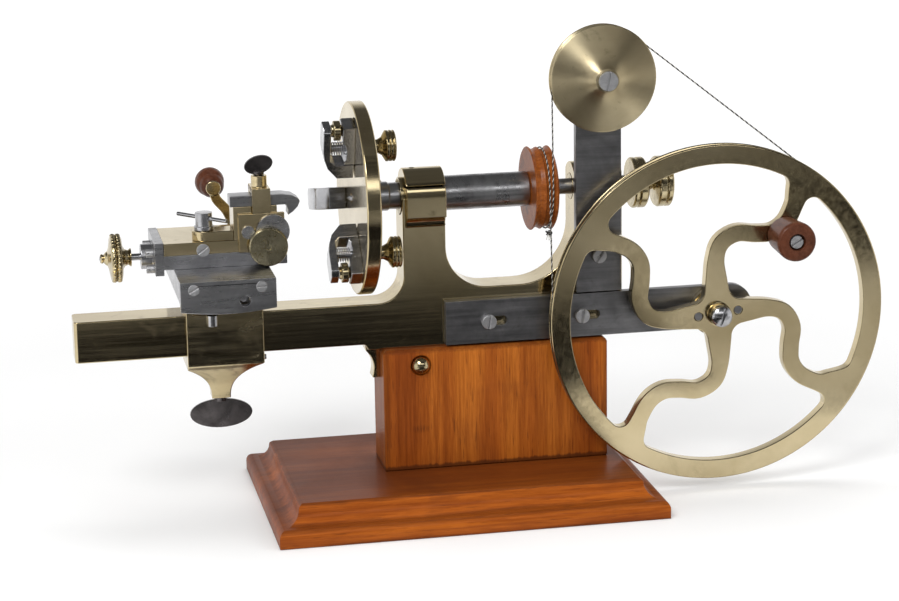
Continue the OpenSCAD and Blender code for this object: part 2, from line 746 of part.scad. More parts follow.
module pump_rod() {
    tip = plate_front - 2.4;
    color(steel) along_x([0, 0, axis_z]) rotate_extrude() polygon([[0, tip],
        [rod_r, tip + 3.2], [rod_r, knob_start + 18], [0, knob_start + 18]]);
}

module pump_knob() {
    r = 11.8;
    color(brass) along_x([knob_start, 0, axis_z]) difference() {
        rotate_extrude($fn = 72) polygon([[0, 0], [4.2, 0], [6.4, 0.6], [r - 0.6, 0.6], [r, 1.2],
            [r, 2.6], [r - 0.7, 3.2], [r, 3.8], [r, 6.4], [r - 0.7, 7.2], [4.6, 7.8], [3.4, 9],
            [4, 10], [3.4, 11], [4.6, 11.8], [r - 0.7, 12.2], [r, 13], [r, 15.6], [r - 0.7, 16.2],
            [r, 16.8], [r, 18.4], [r - 0.6, 19], [5, 19.4], [3, 20.4], [0, 20.4]]);
        translate([0, 0, -1]) cylinder(r = rod_r + fit, h = 19);
    }
}

// Turns children, drawn with the slot along +Y and the plate's face at x = 0, to a dog's place
module at_dog(angle) {
    translate([plate_front, 0, axis_z]) rotate([angle, 0, 0]) children();
}

dog_out = dog_l - 13;
nut_at = dog_out - 3.5;
base_in = claw_w + jaw_gap - 13;

// Moves children, drawn about the bolt's axis, to dog n
module dog_place(n) {
    at_dog(dog_angles[n - 1]) translate([0, dog_radii[n - 1], 0]) children();
}

// Extrudes a side outline of a dog, drawn as height off the plate and distance from the bolt
module dog_side(width) {
    translate([0, 0, -width / 2]) linear_extrude(width) children();
}

// Base with a scooped spring seat and the heel that carries the stud
module dog_base(n) {
    color(steel) dog_place(n) difference() {
        union() {
            dog_side(dog_w) difference() {
                polygon([[-0.05, base_in], [-seat_t - 1.2, base_in], [-seat_t - 1.2, base_in + 1.2],
                    [-seat_t, base_in + 2.6], [-heel_t, nut_at - 5], [-heel_t, dog_out - 0.5],
                    [-heel_t + 0.8, dog_out], [-0.05, dog_out]]);
                translate([-seat_t - 8, 0]) circle(r = 8, $fn = 64);
            }
            along_x([-0.06, 0, 0]) cylinder(r = slot_w / 2 - run, h = 4);
            along_x([-jaw_at + 0.5, nut_at, 0]) cylinder(r = 1.5, h = 6);
        }
        along_x([-20, 0, 0]) cylinder(r = bolt_r + run, h = 40);
    }
}

// Clamping jaw: claw down to the plate, slope and flat back, with its bolt riveted in
module dog_jaw(n) {
    top = -jaw_at - jaw_t;
    color(steel) dog_place(n) union() {
        difference() {
            dog_side(dog_w) polygon([[-jaw_gap, -13], [-jaw_gap, claw_w - 13],
                [2 - jaw_at, claw_w - 13], [1.2 - jaw_at, claw_w - 12.2], [-jaw_at, claw_w - 11],
                [-jaw_at, dog_out], [top, dog_out], [top, 0.5], [top + 0.6, -3.5],
                [top + 2.2, -8], [top + 6.5, -13]]);
            translate([-30, dog_out, 0]) for (s = [-1, 1]) translate([0, 0, s * dog_w / 2])
                rotate([s * 45, 0, 0]) translate([0, -1.5, -1.5]) cube([40, 3, 3]);
        }
        along_x([-jaw_at - 1, 0, 0]) cylinder(r = bolt_r, h = jaw_at + 1 + plate_t + 13.1);
    }
}

spring_r = 3;
spring_from = seat_t + 0.1;

// Helical tube whose ends run straight along the axis for one wire diameter
module coil(r, wire, from, to, turns) {
    rings = 8;
    sides = 6;
    total = turns * rings;
    rise = (to - from - 2 * wire) / turns;
    middle = [for (i = [0 : total]) let(a = i * 360 / rings)
        [from + wire + rise * i / rings, r * cos(a), r * sin(a)]];
    line = concat([[from, r, 0]], middle, [[to, r, 0]]);
    n = len(line);
    dirs = [for (i = [0 : n - 1]) (i <= 0 || i >= n - 1) ? [1, 0, 0]
        : unit(line[i + 1] - line[i - 1])];
    points = [for (i = [0 : n - 1]) let(radial = unit([0, line[i][1], line[i][2]]),
        u = unit(radial - (radial * dirs[i]) * dirs[i]), v = cross(dirs[i], u))
        for (k = [0 : sides - 1]) line[i] + wire / 2 * (cos(k * 60) * u + sin(k * 60) * v)];
    caps = [for (k = [1 : sides - 2]) each [[0, k, k + 1],
        [(n - 1) * sides, (n - 1) * sides + k + 1, (n - 1) * sides + k]]];
    walls = [for (i = [0 : n - 2]) for (k = [0 : sides - 1])
        let(a = i * sides + k, b = i * sides + (k + 1) % sides)
        each [[a, a + sides, b], [b, a + sides, b + sides]]];
    echo(least_gap_of_spring = rise - wire / cos(atan(rise / (2 * PI * r))));
    polyhedron(points, concat(caps, walls));
}

module dog_spring(n) {
    color("#777a80") dog_place(n) mirror([1, 0, 0]) rotate([90, 0, 0])
        coil(spring_r, wire_d, spring_from, jaw_at - 0.02, spring_turns);
}

// Rear thumb nut with a trumpet hub and a two-groove rim
module dog_thumb_nut(n) {
    color(brass) dog_place(n) translate([plate_t + 0.1, 0, 0]) difference() {
        rotate([0, 90, 0]) rotate_extrude() polygon([[0, 0], [3.6, 0], [3, 1.8], [3.1, 4],
            [4.2, 6], [6.2, 7.1], [7.1, 7.7], [7.1, 8.7], [6.6, 9.1], [7.1, 9.5], [7.1, 10.3],
            [6.6, 10.7], [7.1, 11.1], [7.1, 11.6], [6.5, 12], [3, 12.2], [0, 12.2]]);
        along_x([-1, 0, 0]) cylinder(r = bolt_r + run, h = 20);
    }
}

heel_r = 4.5;

// Heel nut on the base's stud, on which the jaw's outer end bears
module dog_heel_nut(n) {
    color(brass) dog_place(n) translate([-heel_t - 0.1, nut_at, 0]) difference() {
        rotate([0, -90, 0]) rotate_extrude() polygon([[0, 0], [2.6, 0], [3, 0.6],
            [heel_r - 0.3, 0.6], [heel_r, 0.9], [heel_r, 3.4], [heel_r - 0.3, 3.7], [3, 3.7],
            [2.6, 4.7], [0, 4.7]]);
        along_x([-10, 0, 0]) cylinder(r = 1.5 + run, h = 20);
    }
}

flare_z = bed_z - saddle_t - 17.6;
thumb_r = 2.4;
screw_x = saddle_x + saddle_l / 2 - 1.9;

// Concave taper from the saddle's underside to the thumb screw's boss
module flare(from, to, width, span) {
    steps = 12;
    h = saddle_low - flare_z;
    half = [for (i = [0 : steps]) let(s = i / steps)
        [span / 2 + (width / 2 - span / 2) * pow(s, 2.6), flare_z + h * s]];
    rotate([90, 0, 0]) translate([0, 0, -to]) linear_extrude(to - from)
        polygon(concat([for (p = half) p],
            [for (i = [steps : -1 : 0]) [-half[i][0], half[i][1]]]));
}

module saddle() {
    color(brass) difference() {
        union() {
            block([saddle_x, -saddle_y, saddle_low], [saddle_x + saddle_l, saddle_y, saddle_top]);
            translate([saddle_x + saddle_l / 2, 0, 0]) intersection() {
                translate([-1.9, 0, 0]) flare(-40, 40, saddle_l + 3.8, 8.6);
                rotate([0, 0, 90]) flare(-40, 40, 2 * saddle_y, 8.6);
                block([-saddle_l / 2, -30, 0], [saddle_l / 2, 30, saddle_low]);
            }
        }
        block([saddle_x - 1, face_y - slide, bed_z - slide],
            [saddle_x + saddle_l + 1, bar_d / 2 + slide, bar_top + slide]);
        // Notch under the cross slide's end plate
        block([saddle_x + 3.4, -saddle_y - 1, bar_top + 0.8],
            [saddle_x + 21.4, 3 - saddle_y, saddle_top + 1]);
        translate([screw_x, 0, flare_z - 1]) cylinder(r = thumb_r + run, h = 30);
    }
}

// Male slide that is fixed across the saddle's top
module cross_bed() {
    mid = cross_x + cross_w / 2;
    z = saddle_top;
    color(steel) difference() {
        translate([0, saddle_y, 0]) rotate([90, 0, 0]) linear_extrude(saddle_y + 8)
            polygon([[mid - dove_w / 2 + 2, z], [mid + dove_w / 2 - 2, z],
                [mid + dove_w / 2 - 2, cross_z], [mid + dove_w / 2, cross_z + dove_h - 2],
                [mid - dove_w / 2, cross_z + dove_h - 2], [mid - dove_w / 2 + 2, cross_z]]);
        to_front([lead_x, 40, lead_z]) cylinder(r = 2.4, h = 80);
    }
}

// Clamp screw with an oval thumb-piece below the saddle
module saddle_thumb_screw() {
    a = 14.3;
    b = 6.8;
    drop = flare_z - 1.2;
    color(steel) {
        translate([screw_x, 0, drop - 1]) cylinder(r = thumb_r, h = bed_z - 0.1 - drop + 1);
        difference() {
            to_front([screw_x, 0.9, drop - b]) linear_extrude(1.8)
                polygon([for (t = [0 : 10 : 350]) [a * cos(t), b * sin(t)]]);
            translate([screw_x, 0, drop - 1]) cylinder(r = thumb_r - 0.01, h = 3);
        }
    }
}

// Sliding block with a dovetail groove beneath and a bearing for the feed screw behind
module cross_slide() {
    mid = cross_x + cross_w / 2;
    g = slide;
    color(steel) difference() {
        union() {
            block([cross_x, cross_y, cross_z + g], [cross_x + cross_w, cross_back, cross_top]);
            block([lead_x - 8, cross_back - 6, lead_z - 4.4], [lead_x + 8, cross_back, cross_z + 1]);
        }
        slab(cross_y - 1, cross_back - 6) polygon([[mid - dove_w / 2 + 2 - g, cross_z - 1],
            [mid + dove_w / 2 - 2 + g, cross_z - 1], [mid + dove_w / 2 - 2 + g, cross_z],
            [mid + dove_w / 2 + g, cross_z + dove_h - 2 + g],
            [mid - dove_w / 2 - g, cross_z + dove_h - 2 + g], [mid - dove_w / 2 + 2 - g, cross_z]]);
        to_front([lead_x, cross_back + 1, lead_z]) cylinder(r = 2 + run, h = 8);
        for (x = plate_screw_at) to_front([cross_x + x, cross_y + 8, cross_top - 3.6])
            cylinder(r = 1.4, h = 20);
    }
}
plate_screw_at = [6, 36.4];

// Front end plate, with a bowed lower edge and a hole for the feed screw
module cross_end_plate() {
    w = cross_w;
    color(steel) slab(cross_y - end_t, cross_y) difference() {
        polygon(concat([[cross_x, cross_top], [cross_x, saddle_top + 0.9]],
            [for (s = [0 : 0.1 : 1]) [cross_x + w * s,
                saddle_top + 0.9 - 1.7 * sin(180 * s)]], [[cross_x + w, cross_top]]));
        translate([lead_x, lead_z]) circle(r = 2.4);
        for (x = plate_screw_at) translate([cross_x + x, cross_top - 3.6]) circle(r = 1.4);
    }
}

end_screw_at = [[-9.4, 3.4], [9.4, 3.4], [-9.4, -4], [9.4, -4]];

// Screws of the cross slide's front plate and of the top slide's end plate
module slide_screws() {
    color(steel) {
        for (x = plate_screw_at) to_front([cross_x + x, cross_y - end_t, cross_top - 3.6])
            slotted_screw(2.5, 0.7, 1.4 - fit, end_t + 6, x * 5);
        for (p = end_screw_at) translate([top_x - end_plate_t, top_mid + p[0], screw_z + p[1]])
            rotate([0, -90, 0]) slotted_screw(1.9, 3.4, 1.2 - fit, end_plate_t - 0.2, p[0] * 9);
    }
}

// Fixed lower part of the top slide, with its male ridge
module top_bed() {
    r = ridge_w / 2;
    color(steel) difference() {
        union() {
            block([top_x, top_y, top_bed_z], [top_x + top_l, top_back, top_plate_z]);
            along_x([top_x, 0, 0]) linear_extrude(top_l) polygon([
                [-top_plate_z + 1, top_mid - r + 1.2], [-top_plate_z + 1, top_mid + r - 1.2],
                [-top_plate_z, top_mid + r - 1.2], [-top_plate_z - ridge_h, top_mid + r],
                [-top_plate_z - ridge_h, top_mid - r], [-top_plate_z, top_mid - r + 1.2]]);
        }
        along_x([top_x - 1, top_mid, screw_z]) cylinder(r = 2.1, h = top_l - 6);
        block([top_x + 15, top_mid - 3, screw_z - 3], [top_x + 34, top_mid + 3, top_z + 1]);
    }
}

// End plate with the round boss that carries the handwheel's shaft
module top_end_plate() {
    color(steel) difference() {
        union() {
            block([top_x - end_plate_t, top_y, top_bed_z - 2.6],
                [top_x, top_back, top_z + 0.4]);
            along_x([top_x - end_plate_t - boss_t, top_mid, screw_z])
                cylinder(r = 5.8, h = boss_t + 1);
        }
        along_x([top_x - 20, top_mid, screw_z]) cylinder(r = 1.6 + run, h = 40);
        for (p = end_screw_at) along_x([top_x - 20, top_mid + p[0], screw_z + p[1]])
            cylinder(r = 1.2, h = 40);
    }
}

crank_y = cross_back + 1.6;

// Feed screw of the cross slide, running in the slide's rear lug
module cross_feed_screw() {
    color(steel) to_front([lead_x, crank_y + 5.6, lead_z]) union() {
        cylinder(r = 2, h = 5.6 + 1.6 + 6);
        cylinder(r = 1.8, h = crank_y + 5.6 - cross_y - 2);
    }
}

crank_end = [-4.5, 36.4];
crank_line = [[0, 0], [2.6, 9], [4.4, 17], [1.6, 25], [-3.2, 31], crank_end];

// S-curved crank arm between two round eyes
module cross_crank() {
    p = concat([crank_line[0]], crank_line, [crank_end]);
    c = concat([for (i = [1 : len(p) - 3]) for (k = [0 : 3])
        spline(p[i - 1], p[i], p[i + 1], p[i + 2], k / 4)], [crank_end]);
    n = len(c);
    sides = [for (i = [0 : n - 1]) let(t = unit(c[min(i + 1, n - 1)] - c[max(i - 1, 0)]),
        w = 2.7 - 0.5 * i / n) [c[i] + w * [-t[1], t[0]], c[i] - w * [-t[1], t[0]]]];
    color(brass) translate([lead_x, 0, lead_z]) difference() {
        union() {
            slab(crank_y, crank_y + 2.6) polygon(concat([for (s = sides) s[0]],
                [for (i = [n - 1 : -1 : 0]) sides[i][1]]));
            to_front([0, crank_y + 4.4, 0]) cylinder(r = 5, h = 4.4);
            to_front([crank_end[0], crank_y + 2.6, crank_end[1]]) cylinder(r = 3.5, h = 3.4);
            to_front([crank_end[0], crank_y + 21.4, crank_end[1]]) cylinder(r = 1.4, h = 20);
        }
        to_front([0, crank_y + 10, 0]) cylinder(r = 2 + fit, h = 20);
    }
}

// Two-lobed wooden handle that turns on the crank's pin
module cross_knob() {
    y0 = crank_y + 2.6 + free;
    color(mahogany) to_front([lead_x + crank_end[0], y0 + 18, lead_z + crank_end[1]])
        difference() {
            rotate_extrude() polygon([[0, 0], [4, 0.3], [6.2, 1.8], [7, 4.6], [6.4, 7.6],
                [4.6, 9.8], [4.3, 11], [5.4, 12.4], [5.8, 14.4], [5, 16.6], [3.4, 18], [0, 18]]);
            translate([0, 0, -1]) cylinder(r = 1.4 + run, h = 30);
        }
}

hand_x = top_x - end_plate_t - boss_t - 4.3;

module top_feed_screw() {
    color(steel) along_x([0, top_mid, screw_z]) rotate_extrude() polygon([[0, hand_x - 14.6],
        [1.2, hand_x - 14.2], [1.6, hand_x - 13.6], [1.6, top_x + top_l - 9],
        [0, top_x + top_l - 9]]);
}

// Knurled handwheel: trumpet hub, two rounded ridges and a turned nose
module top_handwheel() {
    r = handwheel_r;
    color(brass) along_x([hand_x, top_mid, screw_z]) difference() {
        rotate_extrude($fn = 72) polygon([[0, -14], [1.9, -14], [2.3, -13.2], [1.8, -12.6],
            [2.9, -11.6], [3.4, -10.8], [5.4, -10.2], [r - 1.8, -9.6], [r - 0.3, -9], [r, -8],
            [r - 0.5, -7.2], [r - 0.9, -6.9], [r - 0.5, -6.6], [r, -5.8], [r - 0.3, -4.8],
            [r - 1.8, -4.2], [5.6, -3.8], [3.9, -2.8], [3.4, -1.4], [4.2, -0.4], [4.2, 0], [0, 0]]);
        translate([0, 0, -20]) cylinder(r = 1.6 + fit, h = 30);
    }
}

// Moving brass upper part of the top slide
module top_plate() {
    r = ridge_w / 2 + slide;
    g = slide;
    color(brass) difference() {
        block([top_x + 0.1, top_y, top_plate_z + g], [top_x + top_l, top_back, top_z]);
        along_x([top_x - 1, 0, 0]) linear_extrude(top_l + 2) polygon([
            [-top_plate_z + 1, top_mid - r + 1.2], [-top_plate_z + 1, top_mid + r - 1.2],
            [-top_plate_z, top_mid + r - 1.2], [-top_plate_z - ridge_h - g, top_mid + r],
            [-top_plate_z - ridge_h - g, top_mid - r], [-top_plate_z, top_mid - r + 1.2]]);
        translate([clamp_x, clamp_y, top_z - 3]) cylinder(r = 1.8, h = 10);
        to_front([disc_x, top_y + 6, disc_z]) cylinder(r = 1.5, h = 20);
    }
    // Feed nut that reaches down to the screw through the lower part
    color(brass) difference() {
        block([top_x + 17, top_mid - 2.6, screw_z - 2.6],
            [top_x + 25, top_mid + 2.6, top_plate_z + ridge_h + slide + 0.01]);
        along_x([top_x, top_mid, screw_z]) cylinder(r = 1.6 + run, h = 60);
    }
}

// Brass strap under the clamp handle, with a rounded left end
module clamp_strap() {
    r = 5.6;
    color(brass) difference() {
        union() {
            translate([clamp_x, clamp_y, top_z]) cylinder(r = r, h = strap_t);
            block([clamp_x, clamp_y - r, top_z], [carrier_x - 0.1, clamp_y + r, top_z + strap_t]);
        }
        translate([clamp_x, clamp_y, top_z - 1]) cylinder(r = 1.8, h = 10);
    }
}

// Clamp bolt with a round head and a tommy bar through it
module clamp_handle() {
    color(steel) translate([clamp_x, clamp_y, top_z + strap_t + 0.1]) {
        difference() {
            union() {
                translate([0, 0, -strap_t - 2.6]) cylinder(r = 1.8 - run, h = strap_t + 4);
                cylinder(r = 4.5, h = 1.8);
                translate([0, 0, 1.8]) cylinder(r = 3.9, h = 6.2);
            }
            rotate([0, 0, -50]) along_x([-10, 0, 5.4]) cylinder(r = 0.9 + fit, h = 20);
        }
        rotate([0, 0, -50]) along_x([-16.5, 0, 5.4]) cylinder(r = 0.9, h = 31);
    }
}

// Block that carries the tool bar above the top slide
module tool_carrier() {
    x1 = carrier_x + carrier_l;
    back = top_y + 15;
    color(brass) difference() {
        union() {
            block([carrier_x, top_y, top_z], [x1, back, carrier_top]);
            block([carrier_x + 2, top_y - 2.4, top_plate_z + free], [x1 + 3, top_y,
                carrier_top - 3]);
            block([carrier_x + 2, top_y - 1, top_z], [x1, top_y + 1, carrier_top - 3]);
        }
        to_front([disc_x, top_y + 1, disc_z]) cylinder(r = 1.5 + run, h = 20);
        block([stirrup_x - fit, top_y - 5, carrier_top - 3],
            [stirrup_x + stirrup_l + fit, top_y + fit, carrier_top + 1]);
        block([stirrup_x - fit, top_y + tool_d - fit, carrier_top - 4],
            [stirrup_x + stirrup_l + fit, back + 1, carrier_top + 1]);
    }
}

// Steel washer plate and small brass-faced boss on the carrier's front
module carrier_disc() {
    y = top_y - 2.4;
    color(steel) {
        difference() {
            to_front([disc_x + 2.6, y, disc_z + 6.6]) cylinder(r = 7.6, h = 1.8);
            to_front([disc_x, y + 5, disc_z]) cylinder(r = 2.2, h = 10);
        }
        to_front([disc_x - 8.6, y, disc_z + 6.6]) cylinder(r = 3, h = 1.8);
    }
}

// Stirrup over the tool bar, with the threaded boss of the tool screw
module tool_stirrup() {
    x0 = stirrup_x;
    x1 = x0 + stirrup_l;
    top = carrier_top + tool_h + 3.4;
    color(brass) difference() {
        union() {
            block([x0, top_y - 2.8, carrier_top - 3], [x1, top_y - fit, top]);
            block([x0, top_y + tool_d, carrier_top - 4], [x1, top_y + tool_d + 2.8, top]);
            block([x0, top_y - 2.8, carrier_top + tool_h + 0.4],
                [x1, top_y + tool_d + 2.8, top]);
            translate([x0 + stirrup_l / 2, tool_screw_y, top - 1]) cylinder(r = 3.6, h = 6);
        }
        translate([x0 + stirrup_l / 2, tool_screw_y, carrier_top]) cylinder(r = 1.6 + run, h = 40);
    }
}

// Tool bar with a rounded nose that hooks down
module tool_bar() {
    x0 = carrier_x - 1.4;
    z = carrier_top;
    color(steel) slab(top_y, top_y + tool_d - 2 * fit) polygon([[x0, z], [x0, z + tool_h],
        [x0 + 24, z + tool_h], [x0 + 28.6, z + tool_h - 0.8], [x0 + 31.4, z + tool_h - 2.6],
        [x0 + 32, z + 1.2], [x0 + 31, z - 1.2], [x0 + 28.8, z - 3.4], [x0 + 26.4, z - 5],
        [x0 + 26.6, z - 2.6], [x0 + 25.6, z]]);
}

// Tool screw with a tilted oval thumb-piece
module tool_screw() {
    top = carrier_top + tool_h + 8.5;
    a = 6.6;
    b = 4.1;
    color(iron) translate([stirrup_x + stirrup_l / 2, tool_screw_y, 0]) {
        translate([0, 0, carrier_top + tool_h + 0.1]) cylinder(r = 1.6, h = 8.4 + 1.2);
        translate([0, 0, top]) cylinder(r = 2.4, h = 1.8);
        to_front([0, 1, top + 4.7]) rotate([0, 0, 14]) linear_extrude(2)
            polygon([for (t = [0 : 10 : 350]) [a * cos(t), b * sin(t)]]);
    }
}

// Polished thumb screw that locks the carrier
module carrier_screw() {
    y = top_y - 4.2 - 0.1;
    color(brass) to_front([disc_x, y, disc_z]) difference() {
        union() {
            translate([0, 0, -9]) cylinder(r = 1.5 - fit, h = 10);
            rotate_extrude($fn = 72) polygon([[0, 0], [8.2, 0], [8.9, 0.5], [8.9, 2.4], [8.4, 3],
                [0, 3]]);
        }
        translate([0, 0, 2.4]) cylinder(r = 1.2, h = 2);
    }
}

base_board();
pedestal_block();
stand_bolts();
ball_nuts();
bed_frame();
bearing_bushes();
wheel_arm();
arm_screws();
wheel_axle();
axle_nut();
idler_post();
idler_screw();
drive_cord();
drive_wheel();
hub_flange();
crank_stud();
crank_knob();
idler_pulley();
spindle();
faceplate();
spindle_pulley();
pump_rod();
pump_knob();
dog_base(1);  // dog_base_1
dog_base(2);  // dog_base_2
dog_base(3);  // dog_base_3
dog_jaw(1);  // dog_jaw_1
dog_jaw(2);  // dog_jaw_2
dog_jaw(3);  // dog_jaw_3
dog_spring(1);  // dog_spring_1
dog_spring(2);  // dog_spring_2
dog_spring(3);  // dog_spring_3
dog_thumb_nut(1);  // dog_thumb_nut_1
dog_thumb_nut(2);  // dog_thumb_nut_2
dog_thumb_nut(3);  // dog_thumb_nut_3
dog_heel_nut(1);  // dog_heel_nut_1
dog_heel_nut(2);  // dog_heel_nut_2
dog_heel_nut(3);  // dog_heel_nut_3
saddle();
cross_bed();
saddle_thumb_screw();
cross_slide();
cross_end_plate();
slide_screws();
top_bed();
top_end_plate();
cross_feed_screw();
cross_crank();
cross_knob();
top_feed_screw();
top_handwheel();
top_plate();
clamp_strap();
tool_carrier();
carrier_disc();
tool_stirrup();
tool_bar();
clamp_handle();
tool_screw();
carrier_screw();
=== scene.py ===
import json
import math

import bpy
from mathutils import Matrix, Vector


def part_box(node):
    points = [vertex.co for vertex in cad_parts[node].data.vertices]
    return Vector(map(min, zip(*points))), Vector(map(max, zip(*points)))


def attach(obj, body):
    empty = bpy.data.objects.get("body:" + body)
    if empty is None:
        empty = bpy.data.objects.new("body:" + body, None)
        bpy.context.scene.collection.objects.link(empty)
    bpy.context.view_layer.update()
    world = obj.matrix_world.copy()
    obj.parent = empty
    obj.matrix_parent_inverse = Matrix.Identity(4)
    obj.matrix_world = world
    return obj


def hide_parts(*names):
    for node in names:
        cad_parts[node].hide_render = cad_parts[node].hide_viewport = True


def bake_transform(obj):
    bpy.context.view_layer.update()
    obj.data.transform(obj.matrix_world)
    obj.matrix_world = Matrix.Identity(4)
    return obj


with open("model.json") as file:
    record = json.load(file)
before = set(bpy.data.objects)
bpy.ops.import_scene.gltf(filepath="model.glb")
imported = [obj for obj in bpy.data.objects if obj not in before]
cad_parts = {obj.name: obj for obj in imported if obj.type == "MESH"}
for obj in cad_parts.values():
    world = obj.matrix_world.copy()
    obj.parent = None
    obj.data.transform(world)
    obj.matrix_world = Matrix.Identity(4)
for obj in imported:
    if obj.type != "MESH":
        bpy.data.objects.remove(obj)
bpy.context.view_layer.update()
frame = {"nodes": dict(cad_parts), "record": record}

bodies = frame["record"]["behaviour"]["bodies"]
bodyOf = {node: body for body, members in bodies.items() for node in members}


def mm(x, y, z):
    return Vector((x / 1000, y / 1000, z / 1000))


# Stations of the engine in millimetres, as the CAD has them
axisZ = 144
cordX = 44.9
wheelX, wheelY, wheelZ = 122.85, -20.2, 84.4
idlerX, idlerZ = 68.35, 196.8


camera = {
    "place": (-0.22123, -1.12766, 0.37736),
    "right": (0.98031, -0.19681, -0.01601),
    "up": (0.06249, 0.23230, 0.97063),
    "back": (-0.18732, -0.95252, 0.24002),
    "lens": 102.64,
    "sensor": 36,
    "near": 0.05,
}


def makeCamera(settings):
    data = bpy.data.cameras.new("photoCamera")
    data.lens = settings["lens"]
    data.sensor_width = settings["sensor"]
    data.sensor_fit = 'HORIZONTAL'
    data.clip_start = settings["near"]
    eye = bpy.data.objects.new("photoCamera", data)
    bpy.context.scene.collection.objects.link(eye)
    turn = Matrix((settings["right"], settings["up"], settings["back"])).transposed()
    eye.matrix_world = Matrix.Translation(settings["place"]) @ turn.to_4x4()
    bpy.context.scene.camera = eye


makeCamera(camera)
bpy.context.scene.view_settings.view_transform = 'Standard'
print("camera in place")


def clearSelection():
    if bpy.context.object and bpy.context.object.mode != 'OBJECT':
        bpy.ops.object.mode_set(mode='OBJECT')
    bpy.ops.object.select_all(action='DESELECT')


def pick(piece):
    clearSelection()
    piece.select_set(True)
    bpy.context.view_layer.objects.active = piece


# A node of a finish: in_Scale and the like are its sockets, other names its own settings
def addNode(tree, kind, **values):
    node = tree.nodes.new(kind)
    for name, value in values.items():
        if name.startswith("in_"):
            node.inputs[name[3:]].default_value = value
        else:
            setattr(node, name, value)
    return node


def link(tree, source, target):
    tree.links.new(source, target)


def startMaterial(name):
    material = bpy.data.materials.new(name)
    material.use_nodes = True
    tree = material.node_tree
    tree.nodes.clear()
    output = addNode(tree, "ShaderNodeOutputMaterial")
    shader = addNode(tree, "ShaderNodeBsdfPrincipled")
    link(tree, shader.outputs["BSDF"], output.inputs["Surface"])
    coords = addNode(tree, "ShaderNodeTexCoord")
    return material, tree, shader, coords.outputs["Object"]


def mapped(tree, vector, scale=(1, 1, 1), shift=(0, 0, 0)):
    node = addNode(tree, "ShaderNodeMapping", in_Scale=scale, in_Location=shift)
    link(tree, vector, node.inputs["Vector"])
    return node.outputs["Vector"]


def noise(tree, vector, scale, detail=3, roughness=0.5, distortion=0):
    node = addNode(tree, "ShaderNodeTexNoise", in_Scale=scale, in_Detail=detail, in_Roughness=roughness,
                   in_Distortion=distortion)
    link(tree, vector, node.inputs["Vector"])
    return node.outputs["Fac"]


def ramp(tree, factor, stops):
    node = addNode(tree, "ShaderNodeValToRGB")
    elements = node.color_ramp.elements
    while len(elements) < len(stops):
        elements.new(0.5)
    for element, (place, colour) in zip(elements, stops):
        element.position = place
        element.color = (*colour, 1)
    link(tree, factor, node.inputs["Fac"])
    return node.outputs["Color"]


def spread(tree, value, low, high, outLow, outHigh):
    node = addNode(tree, "ShaderNodeMapRange")
    for key, number in zip(("From Min", "From Max", "To Min", "To Max"), (low, high, outLow, outHigh)):
        node.inputs[key].default_value = number
    link(tree, value, node.inputs["Value"])
    return node.outputs["Result"]


def compute(tree, operation, first, second, clamp=False):
    node = addNode(tree, "ShaderNodeMath", operation=operation, use_clamp=clamp)
    for socket, value in zip(node.inputs, (first, second)):
        if isinstance(value, (int, float)):
            socket.default_value = value
        else:
            link(tree, value, socket)
    return node.outputs["Value"]


# Socket 0 of a colour mix is its factor, 6 and 7 are its two colours, and output 2 is the result
def blendColour(tree, factor, first, second, mode='MIX'):
    node = addNode(tree, "ShaderNodeMix", data_type='RGBA', blend_type=mode)
    for socket, value in ((node.inputs[0], factor), (node.inputs[6], first), (node.inputs[7], second)):
        if isinstance(value, (int, float)):
            socket.default_value = value
        elif isinstance(value, tuple):
            socket.default_value = (*value, 1)
        else:
            link(tree, value, socket)
    return node.outputs[2]


def bump(tree, height, strength, distance, below=None):
    node = addNode(tree, "ShaderNodeBump", in_Strength=strength, in_Distance=distance)
    link(tree, height, node.inputs["Height"])
    if below is not None:
        link(tree, below, node.inputs["Normal"])
    return node.outputs["Normal"]


def axisOf(tree, vector, letter):
    node = addNode(tree, "ShaderNodeSeparateXYZ")
    link(tree, vector, node.inputs["Vector"])
    return node.outputs[letter]


def vectorOp(tree, operation, first, second=None):
    node = addNode(tree, "ShaderNodeVectorMath", operation=operation)
    for socket, value in zip(node.inputs, (first, second)):
        if isinstance(value, tuple):
            socket.default_value = value
        elif value is not None:
            link(tree, value, socket)
    return node.outputs["Value" if operation == 'LENGTH' else "Vector"]


# A soft-edged band of one coordinate, 1 inside and 0 outside
def band(tree, value, low, high, edge):
    rise = spread(tree, value, low - edge, low, 0, 1)
    fall = spread(tree, value, high, high + edge, 1, 0)
    return compute(tree, 'MULTIPLY', rise, fall)


# How deep each relief of the finishes is, in metres
reliefDepth = {
    "lines": 0.00003, "ripple": 0.0004, "rings": 0.00002, "grain": 0.0002, "pores": 0.0001, "wave": 0.0015,
    "fluff": 0.0001,
}


